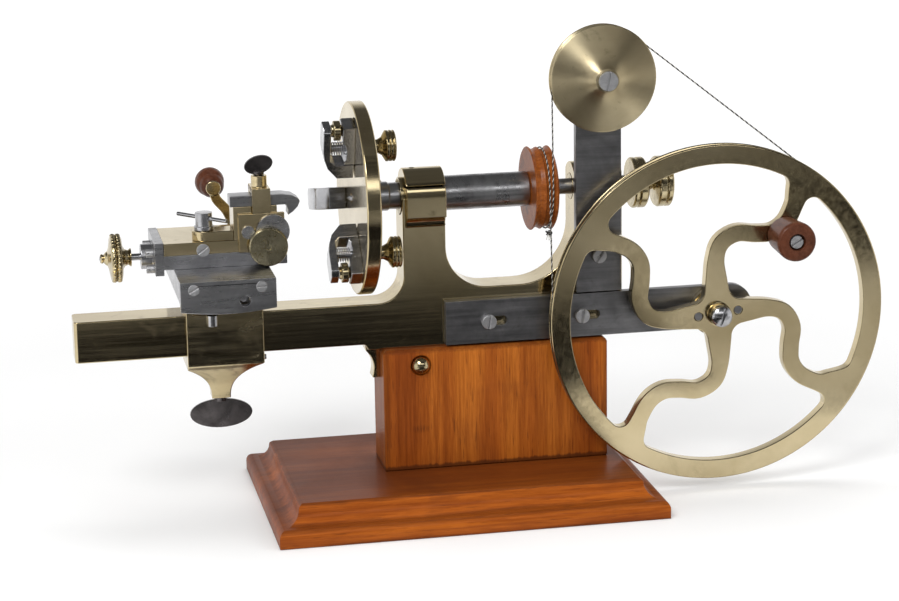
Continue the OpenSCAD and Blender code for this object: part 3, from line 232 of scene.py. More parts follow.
# A polished or ground metal: patches of tone, fine lines along one direction, and stains
def metal(settings):
    material, tree, shader, place = startMaterial(settings["name"])
    patch = noise(tree, place, settings["patchScale"], detail=4, roughness=0.6, distortion=0.4)
    colour = ramp(tree, patch, [(0.30, settings["deep"]), (0.66, settings["pale"])])
    lines = noise(tree, mapped(tree, place, settings["lineScale"]), 1, detail=3, roughness=0.6)
    tone = spread(tree, lines, 0.30, 0.70, 1 - settings["lineTone"], 1)
    colour = blendColour(tree, 1, colour, tone, 'MULTIPLY')
    elsewhere = mapped(tree, place, shift=(3, 1, 7))
    stain = noise(tree, elsewhere, settings["stainScale"], detail=5, roughness=0.7, distortion=1.2)
    stainTo = settings["stainFrom"] + settings["stainEdge"]
    stained = spread(tree, stain, settings["stainFrom"], stainTo, 0, settings["stainAmount"])
    colour = blendColour(tree, stained, colour, settings["stainColour"])
    rough = spread(tree, lines, 0.30, 0.70, *settings["rough"])
    worn = spread(tree, patch, 0.35, 0.70, settings["patchRough"], 0)
    rough = compute(tree, 'ADD', rough, worn, clamp=True)
    dull = compute(tree, 'MULTIPLY', stained, settings["stainRough"])
    rough = compute(tree, 'ADD', rough, dull, clamp=True)
    normal = bump(tree, lines, settings["lineStrength"], reliefDepth["lines"])
    ripple = noise(tree, place, settings["rippleScale"], detail=2, roughness=0.4)
    normal = bump(tree, ripple, settings["rippleStrength"], reliefDepth["ripple"], normal)
    if "rings" in settings:
        normal = turnedRings(tree, place, settings["rings"], normal)
        turnedTangent(tree, place, settings["rings"], shader)
    link(tree, colour, shader.inputs["Base Color"])
    link(tree, rough, shader.inputs["Roughness"])
    link(tree, normal, shader.inputs["Normal"])
    shader.inputs["Metallic"].default_value = 1
    return material


# The way from an axis out to each point, square to that axis
def fromCentre(tree, place, settings):
    shifted = vectorOp(tree, 'SUBTRACT', place, settings["centre"])
    flat = tuple(1 - abs(a) for a in settings["axis"])
    return vectorOp(tree, 'MULTIPLY', shifted, flat)


# Fine turning marks round an axis
def turnedRings(tree, place, settings, normal):
    radius = vectorOp(tree, 'LENGTH', fromCentre(tree, place, settings))
    marks = addNode(tree, "ShaderNodeTexNoise", noise_dimensions='1D', in_Scale=settings["scale"], in_Detail=2)
    link(tree, radius, marks.inputs["W"])
    return bump(tree, marks.outputs["Fac"], settings["strength"], reliefDepth["rings"], normal)


# Stretches the highlights across the turning marks, as on spun brass
def turnedTangent(tree, place, settings, shader):
    around = vectorOp(tree, 'CROSS_PRODUCT', fromCentre(tree, place, settings), settings["axis"])
    turn = addNode(tree, "ShaderNodeVectorTransform", vector_type='VECTOR', convert_from='OBJECT',
                   convert_to='WORLD')
    link(tree, around, turn.inputs["Vector"])
    link(tree, vectorOp(tree, 'NORMALIZE', turn.outputs["Vector"]), shader.inputs["Tangent"])
    shader.inputs["Anisotropic"].default_value = settings["stretch"]
    shader.inputs["Anisotropic Rotation"].default_value = 0.25    # a quarter turn, out from the axis


# Polished hardwood, with its grain along the piece
def wood(settings):
    material, tree, shader, place = startMaterial(settings["name"])
    along = mapped(tree, place, settings["grainScale"])
    broad = noise(tree, along, settings["broadScale"], detail=3, roughness=0.55, distortion=settings["wander"])
    middle = noise(tree, mapped(tree, along, shift=(4, 2, 6)), settings["middleScale"], detail=4, roughness=0.6,
                   distortion=0.5)
    fine = noise(tree, along, settings["fineScale"], detail=4, roughness=0.7, distortion=0.3)
    pores = noise(tree, along, settings["poreScale"], detail=2, roughness=0.8)
    colour = ramp(tree, broad, settings["stops"])
    streaks = ramp(tree, middle, [(0.38, settings["streak"]), (0.60, (1, 1, 1))])
    colour = blendColour(tree, settings["middleAmount"], colour, streaks, 'MULTIPLY')
    hairs = ramp(tree, fine, [(0.36, settings["streak"]), (0.62, (1, 1, 1))])
    colour = blendColour(tree, settings["streakAmount"], colour, hairs, 'MULTIPLY')
    dark = spread(tree, pores, 0.60, 0.70, 0, settings["poreAmount"])
    colour = blendColour(tree, dark, colour, settings["poreAndShadeColour"])
    stain = noise(tree, mapped(tree, place, shift=(2, 4, 1)), settings["stainScale"], detail=4, roughness=0.6,
                  distortion=0.6)
    stained = spread(tree, stain, 0.50, 0.68, 0, settings["stainAmount"])
    colour = blendColour(tree, stained, colour, settings["stainColour"])
    # Painted shade: set bands of one coordinate are darkened towards the pore colour, under the bed, at the
    # block's foot and ends, and in the base's mouldings
    for letter, low, high, edge, amount in settings["paintedShadeBands"]:
        waver = spread(tree, middle, 0.3, 0.7, -settings["bandWaver"], settings["bandWaver"])
        level = compute(tree, 'ADD', axisOf(tree, place, letter), waver)
        shadeZone = band(tree, level, low, high, edge)
        colour = blendColour(tree, compute(tree, 'MULTIPLY', shadeZone, amount), colour, settings["poreAndShadeColour"])
    if settings["mark"]:
        centre, stretch, size = settings["mark"]
        away = vectorOp(tree, 'MULTIPLY', vectorOp(tree, 'SUBTRACT', place, centre), stretch)
        near = spread(tree, vectorOp(tree, 'LENGTH', away), 0, size, 1, 0)
        soft = compute(tree, 'MULTIPLY', near, spread(tree, fine, 0.40, 0.56, 1, 0))
        colour = blendColour(tree, soft, colour, settings["poreAndShadeColour"])
    link(tree, colour, shader.inputs["Base Color"])
    link(tree, spread(tree, stain, 0.3, 0.7, *settings["rough"]), shader.inputs["Roughness"])
    normal = bump(tree, fine, settings["grainStrength"], reliefDepth["grain"])
    filled = compute(tree, 'SUBTRACT', 1, dark)
    normal = bump(tree, filled, settings["poreStrength"], reliefDepth["pores"], normal)
    wave = noise(tree, place, settings["waveScale"], detail=2, roughness=0.4)
    normal = bump(tree, wave, settings["waveStrength"], reliefDepth["wave"], normal)
    link(tree, normal, shader.inputs["Normal"])
    link(tree, normal, shader.inputs["Coat Normal"])
    shader.inputs["Coat Weight"].default_value = settings["coat"]
    shader.inputs["Coat Roughness"].default_value = settings["coatRough"]
    shader.inputs["Specular IOR Level"].default_value = settings["shine"]
    return material


# Twisted cotton of the cord, dark or bleached
def cotton(settings):
    material, tree, shader, place = startMaterial(settings["name"])
    fluff = noise(tree, place, settings["fluffScale"], detail=3, roughness=0.7)
    colour = ramp(tree, fluff, [(0.3, settings["deep"]), (0.7, settings["pale"])])
    link(tree, colour, shader.inputs["Base Color"])
    link(tree, bump(tree, fluff, settings["fluffStrength"], reliefDepth["fluff"]), shader.inputs["Normal"])
    shader.inputs["Roughness"].default_value = settings["rough"]
    return material


finish = {}


# Each finish of a family is the family's settings with its own changes
def mixFinishes(maker, family, members):
    for name, changes in members.items():
        finish[name] = maker({**family, **changes, "name": name})


# Rings and stretched highlights of faces that were turned across the engine's axis
spunRings = {"axis": (0, 1, 0), "scale": 2600, "strength": 0.10}
# What small turned work changes of the brass
turnedSettings = {
    "pale": (0.60, 0.51, 0.32), "deep": (0.40, 0.325, 0.18), "patchScale": 120, "lineScale": (500, 500, 500),
    "stainScale": 300, "stainFrom": 0.50,
}
brassSettings = {
    "pale": (0.65, 0.545, 0.34), "deep": (0.48, 0.385, 0.215), "patchScale": 26, "patchRough": 0.06,
    "lineScale": (60, 1200, 1200), "lineStrength": 0.16, "lineTone": 0.10, "rough": (0.08, 0.17),
    "rippleScale": 45, "rippleStrength": 0.05, "stainScale": 90, "stainFrom": 0.58, "stainEdge": 0.16,
    "stainAmount": 0.5, "stainRough": 0.25, "stainColour": (0.24, 0.19, 0.10),
}
mixFinishes(metal, brassSettings, {
    "polishedBrass": {},
    "bedBrass": {"lineScale": (12, 900, 900), "patchScale": 14, "lineTone": 0.14, "lineStrength": 0.05,
                 "rough": (0.06, 0.14)},
    "saddleBrass": {"lineScale": (40, 600, 600), "patchScale": 30, "lineStrength": 0.06, "stainScale": 60,
                    "stainFrom": 0.52, "stainAmount": 0.6, "stainColour": (0.16, 0.14, 0.10)},
    "wheelBrass": {"lineScale": (420, 420, 420), "patchScale": 18, "lineTone": 0.06, "lineStrength": 0.04,
                   "rough": (0.08, 0.16), "stainScale": 45, "stainAmount": 0.22},
    "faceBrass": {"rough": (0.10, 0.18),
                  "rings": {"centre": (0, 0, axisZ / 1000), "axis": (1, 0, 0), "scale": 1600, "strength": 0.12,
                            "stretch": 0.25}},
    "turnedBrass": turnedSettings,
    "spunBrass": {"pale": (0.70, 0.60, 0.39), "deep": (0.55, 0.45, 0.27), "lineTone": 0.04,
                  "lineStrength": 0.02, "rough": (0.32, 0.40),
                  "rings": {**spunRings, "centre": (idlerX / 1000, 0, idlerZ / 1000), "strength": 0.12,
                            "stretch": 0.95}},
    "spunKnob": {**turnedSettings, "pale": (0.48, 0.43, 0.29), "deep": (0.32, 0.28, 0.17), "lineTone": 0.03,
                 "rough": (0.14, 0.20),
                 "rings": {**spunRings, "centre": (-0.0830, 0, 0.1243), "stretch": 0.80}},
})

steelSettings = {
    "pale": (0.56, 0.56, 0.575), "deep": (0.38, 0.38, 0.395), "patchScale": 70, "patchRough": 0.06,
    "lineScale": (100, 700, 700), "lineStrength": 0.06, "lineTone": 0.12, "rough": (0.12, 0.20),
    "rippleScale": 90, "rippleStrength": 0.03, "stainScale": 120, "stainFrom": 0.60, "stainEdge": 0.16,
    "stainAmount": 0.5, "stainRough": 0.25, "stainColour": (0.14, 0.13, 0.125),
}
mixFinishes(metal, steelSettings, {
    "brightSteel": {},
    "spunSteel": {"lineTone": 0.03, "rough": (0.20, 0.28),
                  "rings": {**spunRings, "centre": (-0.0837, 0, 0.1309), "stretch": 0.85}},
    "spindleSteel": {"pale": (0.54, 0.54, 0.55), "deep": (0.33, 0.33, 0.34), "lineScale": (200, 50, 50),
                     "rough": (0.22, 0.34), "stainFrom": 0.56},
    "screwSteel": {"pale": (0.66, 0.66, 0.67), "deep": (0.50, 0.50, 0.51), "patchScale": 300,
                   "rough": (0.46, 0.56)},
    "groundSteel": {"deep": (0.32, 0.32, 0.335), "patchScale": 55, "lineScale": (60, 700, 700),
                    "lineStrength": 0.10, "lineTone": 0.16, "rough": (0.20, 0.34)},
    "darkSteel": {"pale": (0.34, 0.338, 0.345), "deep": (0.21, 0.208, 0.215), "lineScale": (30, 600, 600),
                  "lineStrength": 0.25, "lineTone": 0.28, "rough": (0.30, 0.44)},
    "blackSteel": {"pale": (0.17, 0.155, 0.155), "deep": (0.055, 0.05, 0.05), "lineScale": (300, 300, 300),
                   "rough": (0.22, 0.34)},
})

# A band of painted shade is an axis, where it runs from and to, its soft edge and its amount: under the bed,
# at the block's foot and two places along it, and on the base at its top edge, moulding step and bottom edge;
# a mark is a place, how its distances are stretched, and its size
mahoganySettings = {
    "grainScale": (1, 1, 0.045), "broadScale": 60, "middleScale": 330, "fineScale": 1100, "poreScale": 1700,
    "wander": 0.4,
    "stops": [(0.28, (0.27, 0.060, 0.008)), (0.48, (0.41, 0.108, 0.013)), (0.64, (0.53, 0.160, 0.020)),
              (0.8, (0.34, 0.082, 0.010))],
    "streak": (0.50, 0.38, 0.30), "streakAmount": 0.55, "middleAmount": 0.45, "poreAmount": 0.55,
    "poreAndShadeColour": (0.075, 0.020, 0.006), "stainScale": 24, "stainAmount": 0.35,
    "stainColour": (0.17, 0.040, 0.010), "rough": (0.34, 0.46), "grainStrength": 0.10, "poreStrength": 0.25,
    "waveScale": 26, "waveStrength": 0.12, "shine": 0.08, "coat": 0.06, "coatRough": 0.10,
    "bandWaver": 0.0006,
    "paintedShadeBands": (("Z", 0.0160, 0.0186, 0.0010, 0.85), ("Z", 0.0734, 0.0760, 0.0012, 0.5),
                  ("X", -0.0350, -0.0320, 0.0016, 0.35), ("X", 0.0712, 0.0730, 0.0016, 0.35)),
    "mark": ((-0.0165, -0.0133, 0.0365), (1, 0.2, 2.6), 0.0060),
}
mixFinishes(wood, mahoganySettings, {
    "blockMahogany": {},
    "baseMahogany": {
        "grainScale": (0.05, 1, 1), "stainScale": 16, "stainAmount": 0.65,
        "stops": [(0.28, (0.20, 0.042, 0.007)), (0.5, (0.36, 0.086, 0.011)), (0.68, (0.50, 0.130, 0.014)),
                  (0.82, (0.26, 0.054, 0.008))],
        "paintedShadeBands": (("Z", 0.01625, 0.0180, 0.0004, 0.60), ("Z", 0.0075, 0.0085, 0.0012, 0.45),
                      ("Z", -0.0010, 0.0004, 0.0008, 0.6)),
        "mark": ((-0.070, -0.020, 0.017), (0.35, 1.6, 1), 0.0070)},
    "pulleyWood": {
        "grainScale": (0.15, 1, 1), "broadScale": 120, "coat": 0.2, "coatRough": 0.2, "paintedShadeBands": (),
        "mark": None,
        "stops": [(0.3, (0.19, 0.050, 0.010)), (0.55, (0.34, 0.098, 0.016)), (0.75, (0.23, 0.060, 0.011))]},
    "knobWood": {
        "grainScale": (1, 0.15, 1), "broadScale": 150, "coat": 0.25, "coatRough": 0.22, "paintedShadeBands": (),
        "mark": None,
        "stops": [(0.3, (0.080, 0.028, 0.015)), (0.55, (0.130, 0.046, 0.024)),
                  (0.75, (0.095, 0.033, 0.018))]},
})

cottonSettings = {"fluffScale": 2600, "fluffStrength": 0.5, "rough": 0.8}
mixFinishes(cotton, cottonSettings, {
    "darkCotton": {"deep": (0.012, 0.012, 0.012), "pale": (0.06, 0.055, 0.05)},
    "paleCotton": {"deep": (0.35, 0.33, 0.29), "pale": (0.70, 0.68, 0.62)},
})
print("finishes mixed:", len(finish))


# node: finish, edge width in mm, edge segments, slot
machined = {
    "base_board": ("baseMahogany", 0.5, 3, "mahogany"),
    "pedestal_block": ("blockMahogany", 0.7, 3, "mahogany"),
    "stand_bolts": ("brightSteel", 0.15, 2, "bright_steel"),
    "ball_nuts": ("turnedBrass", 0.1, 2, "polished_brass"),
    "bed_frame": ("bedBrass", 0.5, 3, "polished_brass"),
    "bearing_bushes": ("turnedBrass", 0.2, 2, "polished_brass"),
    "wheel_arm": ("darkSteel", 0.35, 2, "dark_steel"),
    "arm_screws": ("screwSteel", 0.40, 3, "bright_steel"),
    "wheel_axle": ("brightSteel", 0.2, 2, "bright_steel"),
    "axle_nut": ("turnedBrass", 0.3, 2, "polished_brass"),
    "idler_post": ("darkSteel", 0.35, 2, "dark_steel"),
    "idler_screw": ("screwSteel", 0.2, 2, "bright_steel"),
    "idler_pulley": ("spunBrass", 0.2, 2, "polished_brass"),
    "drive_wheel": ("wheelBrass", 0.45, 2, "polished_brass"),
    "hub_flange": ("turnedBrass", 0.2, 2, "polished_brass"),
    "crank_stud": ("screwSteel", 0.2, 2, "bright_steel"),
    "crank_knob": ("knobWood", 0.3, 2, "turned_wood"),
    "spindle": ("spindleSteel", 0.2, 2, "bright_steel"),
    "faceplate": ("faceBrass", 0.25, 2, "polished_brass"),
    "spindle_pulley": ("pulleyWood", 0.25, 2, "turned_wood"),
    "pump_rod": ("brightSteel", 0.1, 2, "bright_steel"),
    "pump_knob": ("turnedBrass", 0.15, 2, "polished_brass"),
    "saddle": ("saddleBrass", 0.45, 3, "polished_brass"),
    "cross_bed": ("groundSteel", 0.2, 2, "bright_steel"),
    "saddle_thumb_screw": ("blackSteel", 0.4, 2, "dark_steel"),
    "cross_slide": ("groundSteel", 0.35, 2, "bright_steel"),
    "cross_end_plate": ("groundSteel", 0.4, 2, "bright_steel"),
    "slide_screws": ("screwSteel", 0.22, 3, "bright_steel"),
    "top_bed": ("groundSteel", 0.3, 2, "bright_steel"),
    "top_end_plate": ("groundSteel", 0.3, 2, "bright_steel"),
    "cross_feed_screw": ("brightSteel", 0.15, 2, "bright_steel"),
    "cross_crank": ("polishedBrass", 0.5, 3, "polished_brass"),
    "cross_knob": ("knobWood", 0.2, 2, "turned_wood"),
    "top_feed_screw": ("brightSteel", 0.15, 2, "bright_steel"),
    "top_handwheel": ("turnedBrass", 0.1, 2, "polished_brass"),
    "top_plate": ("polishedBrass", 0.3, 2, "polished_brass"),
    "clamp_strap": ("polishedBrass", 0.4, 2, "polished_brass"),
    "clamp_handle": ("brightSteel", 0.2, 2, "bright_steel"),
    "tool_carrier": ("polishedBrass", 0.4, 2, "polished_brass"),
    "carrier_disc": ("spunSteel", 0.25, 2, "bright_steel"),
    "tool_stirrup": ("polishedBrass", 0.3, 2, "polished_brass"),
    "tool_bar": ("groundSteel", 0.35, 2, "bright_steel"),
    "tool_screw": ("blackSteel", 0.3, 2, "dark_steel"),
    "carrier_screw": ("spunKnob", 0.2, 2, "polished_brass"),
}
for number in (1, 2, 3):
    machined["dog_base_%d" % number] = ("brightSteel", 0.25, 2, "bright_steel")
    machined["dog_jaw_%d" % number] = ("brightSteel", 0.35, 2, "bright_steel")
    machined["dog_thumb_nut_%d" % number] = ("turnedBrass", 0.12, 2, "polished_brass")
    machined["dog_heel_nut_%d" % number] = ("turnedBrass", 0.12, 2, "polished_brass")

mergeWithin = 0.000002    # metres between points that are one
flatWithin = 0.4          # degrees between faces that are one


def settle(piece, body, slotName, *nodes):
    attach(piece, body)
    if nodes:
        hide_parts(*nodes)


def smooth(piece, angle=30):
    pick(piece)
    bpy.ops.object.shade_smooth_by_angle(angle=math.radians(angle))
    weigh = piece.modifiers.new("flatFaces", 'WEIGHTED_NORMAL')
    weigh.keep_sharp = True
    bpy.ops.object.modifier_apply(modifier=weigh.name)


def breakEdges(piece, width, segments, angle=32):
    edges = piece.modifiers.new("brokenEdges", 'BEVEL')
    edges.width = width / 1000
    edges.segments = segments
    edges.limit_method = 'ANGLE'
    edges.angle_limit = math.radians(angle)
    edges.use_clamp_overlap = False
    edges.miter_outer = 'MITER_ARC'
    pick(piece)
    bpy.ops.object.modifier_apply(modifier=edges.name)


def machinedCopy(node, settings):
    finishName, width, segments, slotName = settings
    source = frame["nodes"][node]
    piece = bpy.data.objects.new(node + ".finished", source.data.copy())
    bpy.context.scene.collection.objects.link(piece)
    pick(piece)
    bpy.ops.mesh.customdata_custom_splitnormals_clear()
    bpy.ops.object.mode_set(mode='EDIT')
    bpy.ops.mesh.select_all(action='SELECT')
    bpy.ops.mesh.remove_doubles(threshold=mergeWithin)
    bpy.ops.mesh.dissolve_limited(angle_limit=math.radians(flatWithin))
    bpy.ops.object.mode_set(mode='OBJECT')
    breakEdges(piece, width, segments)
    piece.data.materials.clear()
    piece.data.materials.append(finish[finishName])
    smooth(piece)
    settle(piece, bodyOf[node], slotName, node)


for node, settings in machined.items():
    machinedCopy(node, settings)
print("machined pieces finished:", len(machined))


# The thin driving cord: three twisted strands along the route that the CAD cord takes
cordSettings = {
    "strands": ("darkCotton", "darkCotton", "paleCotton"), "strand": 0.00018, "lay": 0.00021, "pitch": 0.0030,
    "stepsPerTurn": 9,
    "wheelRadius": 0.07795, "idlerRadius": 0.02345, "pulleyRadius": 0.01865, "shift": 0.0016,
    "wheelSteps": 90, "idlerSteps": 40, "pulleySteps": 72,
    "knot": {"place": (0.0432, -0.0193, 0.1268), "size": 0.00050, "height": 1.6, "strand": 0.00028, "steps": 48,
             "end": 0.0024, "endShare": 0.7, "endSag": 0.0006,
             "leans": ((0.30, -0.25, -0.9), (-0.45, -0.30, -0.85), (-0.05, -0.5, -0.9))},
}


def arcPoints(centre, radius, start, sweep, count):
    angles = [math.radians(start + sweep * i / count) for i in range(count + 1)]
    return [centre + radius * Vector((math.cos(a), 0, math.sin(a))) for a in angles]


# Round the wheel from below, over the idler, and a full turn round the spindle's pulley
def cordRoute(settings):
    wheelCentre, idlerCentre = mm(wheelX, wheelY, wheelZ), mm(idlerX, wheelY, idlerZ)
    gap = idlerCentre - wheelCentre
    leave = math.degrees(math.atan2(gap.z, gap.x)
                         - math.acos((settings["wheelRadius"] - settings["idlerRadius"]) / gap.length))
    route = arcPoints(wheelCentre, settings["wheelRadius"], 180, 180 + leave, settings["wheelSteps"])
    route += arcPoints(idlerCentre, settings["idlerRadius"], leave, 180 - leave, settings["idlerSteps"])
    steps = settings["pulleySteps"]
    for i in range(steps + 1):
        angle = math.radians(180 + 360 * i / steps)
        route.append(Vector((cordX / 1000 + settings["shift"] * (0.5 - i / steps),
                             settings["pulleyRadius"] * math.cos(angle),
                             axisZ / 1000 + settings["pulleyRadius"] * math.sin(angle))))
    return route


def evenSteps(route, step):
    closed = route + [route[0]]
    lengths = [(b - a).length for a, b in zip(closed, closed[1:])]
    count = round(sum(lengths) / step)
    real = sum(lengths) / count
    points, at, past = [], 0, 0.0
    for i in range(count):
        while at < len(lengths) - 1 and past + lengths[at] < i * real:
            past += lengths[at]
            at += 1
        points.append(closed[at].lerp(closed[at + 1], (i * real - past) / lengths[at]))
    return points


# Carries a side direction along the cord without twist, and says how far it has turned at the end
def sideDirections(points):
    count = len(points)
    along = [(points[(i + 1) % count] - points[i - 1]).normalized() for i in range(count)]
    side = along[0].cross(Vector((0, 1, 0))).normalized()
    first, sides = side, []
    for t in along:
        side = (side - side.dot(t) * t).normalized()
        sides.append(side)
    last = (side - side.dot(along[0]) * along[0]).normalized()
    drift = math.atan2(last.cross(first).dot(along[0]), last.dot(first))
    return along, sides, drift


def tube(name, points, radius, material, closed):
    data = bpy.data.curves.new(name, 'CURVE')
    data.dimensions = '3D'
    data.bevel_depth = radius
    data.bevel_resolution = 1
    data.use_fill_caps = not closed
    line = data.splines.new('POLY')
    line.points.add(len(points) - 1)
    for point, place in zip(line.points, points):
        point.co = (*place, 1)
    line.use_cyclic_u = closed
    piece = bpy.data.objects.new(name, data)
    bpy.context.scene.collection.objects.link(piece)
    pick(piece)
    bpy.ops.object.convert(target='MESH')
    piece.data.materials.clear()
    piece.data.materials.append(material)
    bpy.ops.object.shade_smooth()
    return piece


def makeStrands(settings):
    points = evenSteps(cordRoute(settings), settings["pitch"] / settings["stepsPerTurn"])
    along, sides, drift = sideDirections(points)
    count = len(points)
    turns = round(count / settings["stepsPerTurn"])
    strands = []
    for k, colour in enumerate(settings["strands"]):
        path = []
        for i, point in enumerate(points):
            angle = 2 * math.pi * (turns * i / count + k / 3) + drift * i / count
            across = along[i].cross(sides[i])
            path.append(point + settings["lay"] * (math.cos(angle) * sides[i] + math.sin(angle) * across))
        strands.append(tube("drive_cord.strand%d" % (k + 1), path, settings["strand"], finish[colour], True))
    for strand in strands:
        settle(strand, "stand", "cord", "drive_cord")


# The knot that joins the cord, a trefoil with three frayed ends below it
def makeKnot(settings):
    place = Vector(settings["place"])
    loop = []
    for i in range(settings["steps"]):
        a = 2 * math.pi * i / settings["steps"]
        out = 2 + math.cos(3 * a)
        trefoil = Vector((math.cos(2 * a) * out, math.sin(2 * a) * out, settings["height"] * math.sin(3 * a)))
        loop.append(place + settings["size"] * trefoil)
    settle(tube("drive_cord.knot", loop, settings["strand"], finish["darkCotton"], True), "stand", "cord")
    for number, lean in enumerate(settings["leans"], 1):
        lean = Vector(lean)
        start = place + settings["size"] * lean
        ends = [start + settings["end"] * t * lean + Vector((0, 0, -settings["endSag"] * t * t))
                for t in (0, 0.35, 0.7, 1)]
        thin = settings["strand"] * settings["endShare"]
        settle(tube("drive_cord.end%d" % number, ends, thin, finish["paleCotton"], False), "stand", "cord")


makeStrands(cordSettings)
makeKnot(cordSettings["knot"])
print("cord twisted")


# The dogs' compression springs, wound from round wire; the last two settings are in thicknesses of it
springSettings = {"wire": 0.00055, "turns": 6, "steps": 30, "sides": 10, "shorter": 1.15, "firstAt": 0.55}


def makeSpring(number, settings):
    node = "dog_spring_%d" % number
    low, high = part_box(node)
    centre = [(a + b) / 2 for a, b in zip(low, high)]
    wire = settings["wire"]
    radius = (high[2] - low[2]) / 2 - wire / 2
    clearSelection()
    bpy.ops.mesh.primitive_circle_add(vertices=settings["sides"], radius=wire / 2,
                                      location=(0, radius, 0), rotation=(0, math.pi / 2, 0))
    piece = bpy.context.object
    piece.name = node + ".wound"
    bpy.ops.object.transform_apply(location=True, rotation=True, scale=True)
    wind = piece.modifiers.new("wind", 'SCREW')
    wind.axis = 'Z'
    wind.angle = 2 * math.pi
    wind.iterations = settings["turns"]
    wind.steps = settings["steps"]
    wind.render_steps = settings["steps"]
    wind.screw_offset = (high[0] - low[0] - settings["shorter"] * wire) / settings["turns"]
    wind.use_merge_vertices = False
    bpy.ops.object.modifier_apply(modifier=wind.name)
    bpy.ops.object.mode_set(mode='EDIT')
    bpy.ops.mesh.select_all(action='DESELECT')
    bpy.ops.mesh.select_mode(type='EDGE')
    bpy.ops.mesh.select_non_manifold()
    bpy.ops.mesh.fill_holes(sides=settings["sides"])
    bpy.ops.mesh.select_all(action='SELECT')
    bpy.ops.mesh.normals_make_consistent(inside=False)
    bpy.ops.object.mode_set(mode='OBJECT')
    piece.data.transform(Matrix.Translation((low[0] + settings["firstAt"] * wire, centre[1], centre[2]))
                         @ Matrix.Rotation(math.pi / 2, 4, 'Y'))
    piece.data.materials.append(finish["brightSteel"])
    bpy.ops.object.shade_smooth()
    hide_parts(node)
    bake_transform(piece)


for number in (1, 2, 3):
    makeSpring(number, springSettings)
print("springs wound")


# Small screws and pins that the CAD leaves to this script; those with no slot are plain
screwSettings = {
    "gibScrew": {"place": (-0.1120, 0.0029, 0.1231), "face": (0, -1, 0), "radius": 0.0030, "height": 0.0007,
                 "slot": 0.0006, "turn": 35, "finish": "screwSteel", "body": "top_slide"},
    "saddlePin": {"place": (-0.1108, -0.0153, 0.0972), "face": (0, 0, -1), "radius": 0.0024, "height": 0.0050,
                  "finish": "brightSteel", "body": "saddle"},
    "leftRivet": {"place": (0.11325, -0.02265, 0.0838), "face": (0, -1, 0), "radius": 0.0019, "height": 0.0005,
                  "finish": "darkSteel", "body": "wheel"},
    "rightRivet": {"place": (0.13225, -0.02265, 0.0858), "face": (0, -1, 0), "radius": 0.0019, "height": 0.0005,
                   "finish": "darkSteel", "body": "wheel"},
    "saddleStop": {"place": (-0.0877, -0.0104, 0.0752), "face": (1, 0, 0), "radius": 0.0012, "height": 0.0012,
                   "finish": "brightSteel", "body": "saddle"},
}
headSettings = {"sides": 40, "edge": 0.22, "edgeSegments": 3, "sink": 0.0001}


def makeScrew(name, settings, head):
    radius, height = settings["radius"], settings["height"]
    clearSelection()
    bpy.ops.mesh.primitive_cylinder_add(vertices=head["sides"], radius=radius, depth=height,
                                        location=(0, 0, height / 2))
    piece = bpy.context.object
    piece.name = name
    bpy.ops.object.transform_apply(location=True, rotation=True, scale=True)
    if "slot" in settings:
        bpy.ops.mesh.primitive_cube_add(size=1, location=(0, 0, height))
        cutter = bpy.context.object
        cutter.scale = (3 * radius, settings["slot"], 1.1 * height)
        cutter.rotation_euler.z = math.radians(settings["turn"])
        bpy.ops.object.transform_apply(location=True, rotation=True, scale=True)
        saw = piece.modifiers.new("sawCut", 'BOOLEAN')
        saw.operation = 'DIFFERENCE'
        saw.object = cutter
        pick(piece)
        bpy.ops.object.modifier_apply(modifier=saw.name)
        bpy.data.objects.remove(cutter)
    breakEdges(piece, head["edge"], head["edgeSegments"])
    face = Vector(settings["face"])
    turn = Vector((0, 0, 1)).rotation_difference(face).to_matrix().to_4x4()
    sink = face * -head["sink"]
    piece.data.transform(Matrix.Translation(Vector(settings["place"]) + sink) @ turn)
    piece.data.materials.append(finish[settings["finish"]])
    smooth(piece)
    settle(piece, settings["body"], "bright_steel")


for name, settings in screwSettings.items():
    makeScrew(name, settings, headSettings)
print("small screws set:", len(screwSettings))


# The handwheel's two rows of rope knurling
beadSettings = {"rows": (-0.15135, -0.14905), "radius": 0.01045, "count": 34, "lean": 28,
                "size": (0.00125, 0.00080, 0.00078), "axis": (0.0206, 0.1179)}


def makeBeads(settings):
    clearSelection()
    bpy.ops.mesh.primitive_uv_sphere_add(segments=10, ring_count=6, radius=1, location=(0, 0, 0))
    bead = bpy.context.object
    bead.data.transform(Matrix.Translation((0, 0, settings["radius"]))
                        @ Matrix.Rotation(math.radians(settings["lean"]), 4, 'Z')
                        @ Matrix.Diagonal((*settings["size"], 1)))
    bead.data.materials.append(finish["turnedBrass"])
    beads = []
    for row, x in enumerate(settings["rows"]):
        for i in range(settings["count"]):
            copy = bpy.data.objects.new("bead", bead.data.copy())
            bpy.context.scene.collection.objects.link(copy)
            turn = Matrix.Rotation(2 * math.pi * (i + 0.5 * row) / settings["count"], 4, 'X')
            mirror = Matrix.Rotation(math.pi * row, 4, 'Z')
            copy.data.transform(Matrix.Translation((x, *settings["axis"])) @ turn @ mirror)
            beads.append(copy)
    bpy.data.objects.remove(bead)
    clearSelection()
    for copy in beads:
        copy.select_set(True)
    bpy.context.view_layer.objects.active = beads[0]
    bpy.ops.object.join()
    piece = bpy.context.object
    piece.name = "top_handwheel.knurling"
    bpy.ops.object.shade_smooth()
    settle(piece, bodyOf["top_handwheel"], "polished_brass")


makeBeads(beadSettings)
print("handwheel knurled")


# White floor, which glows less near the object, so that its shadow stays
floorSettings = {"size": 12, "white": (0.80, 0.80, 0.80), "near": 0.15, "far": 0.72, "nearAt": 0.35,
                 "farAt": 1.5}


def matte(shader):
    shader.inputs["Roughness"].default_value = 1
    shader.inputs["Specular IOR Level"].default_value = 0


def seenRays(tree):
    path = addNode(tree, "ShaderNodeLightPath")
    shiny = compute(tree, 'ADD', path.outputs["Is Glossy Ray"], path.outputs["Is Transmission Ray"])
    return compute(tree, 'ADD', path.outputs["Is Camera Ray"], shiny, clamp=True)


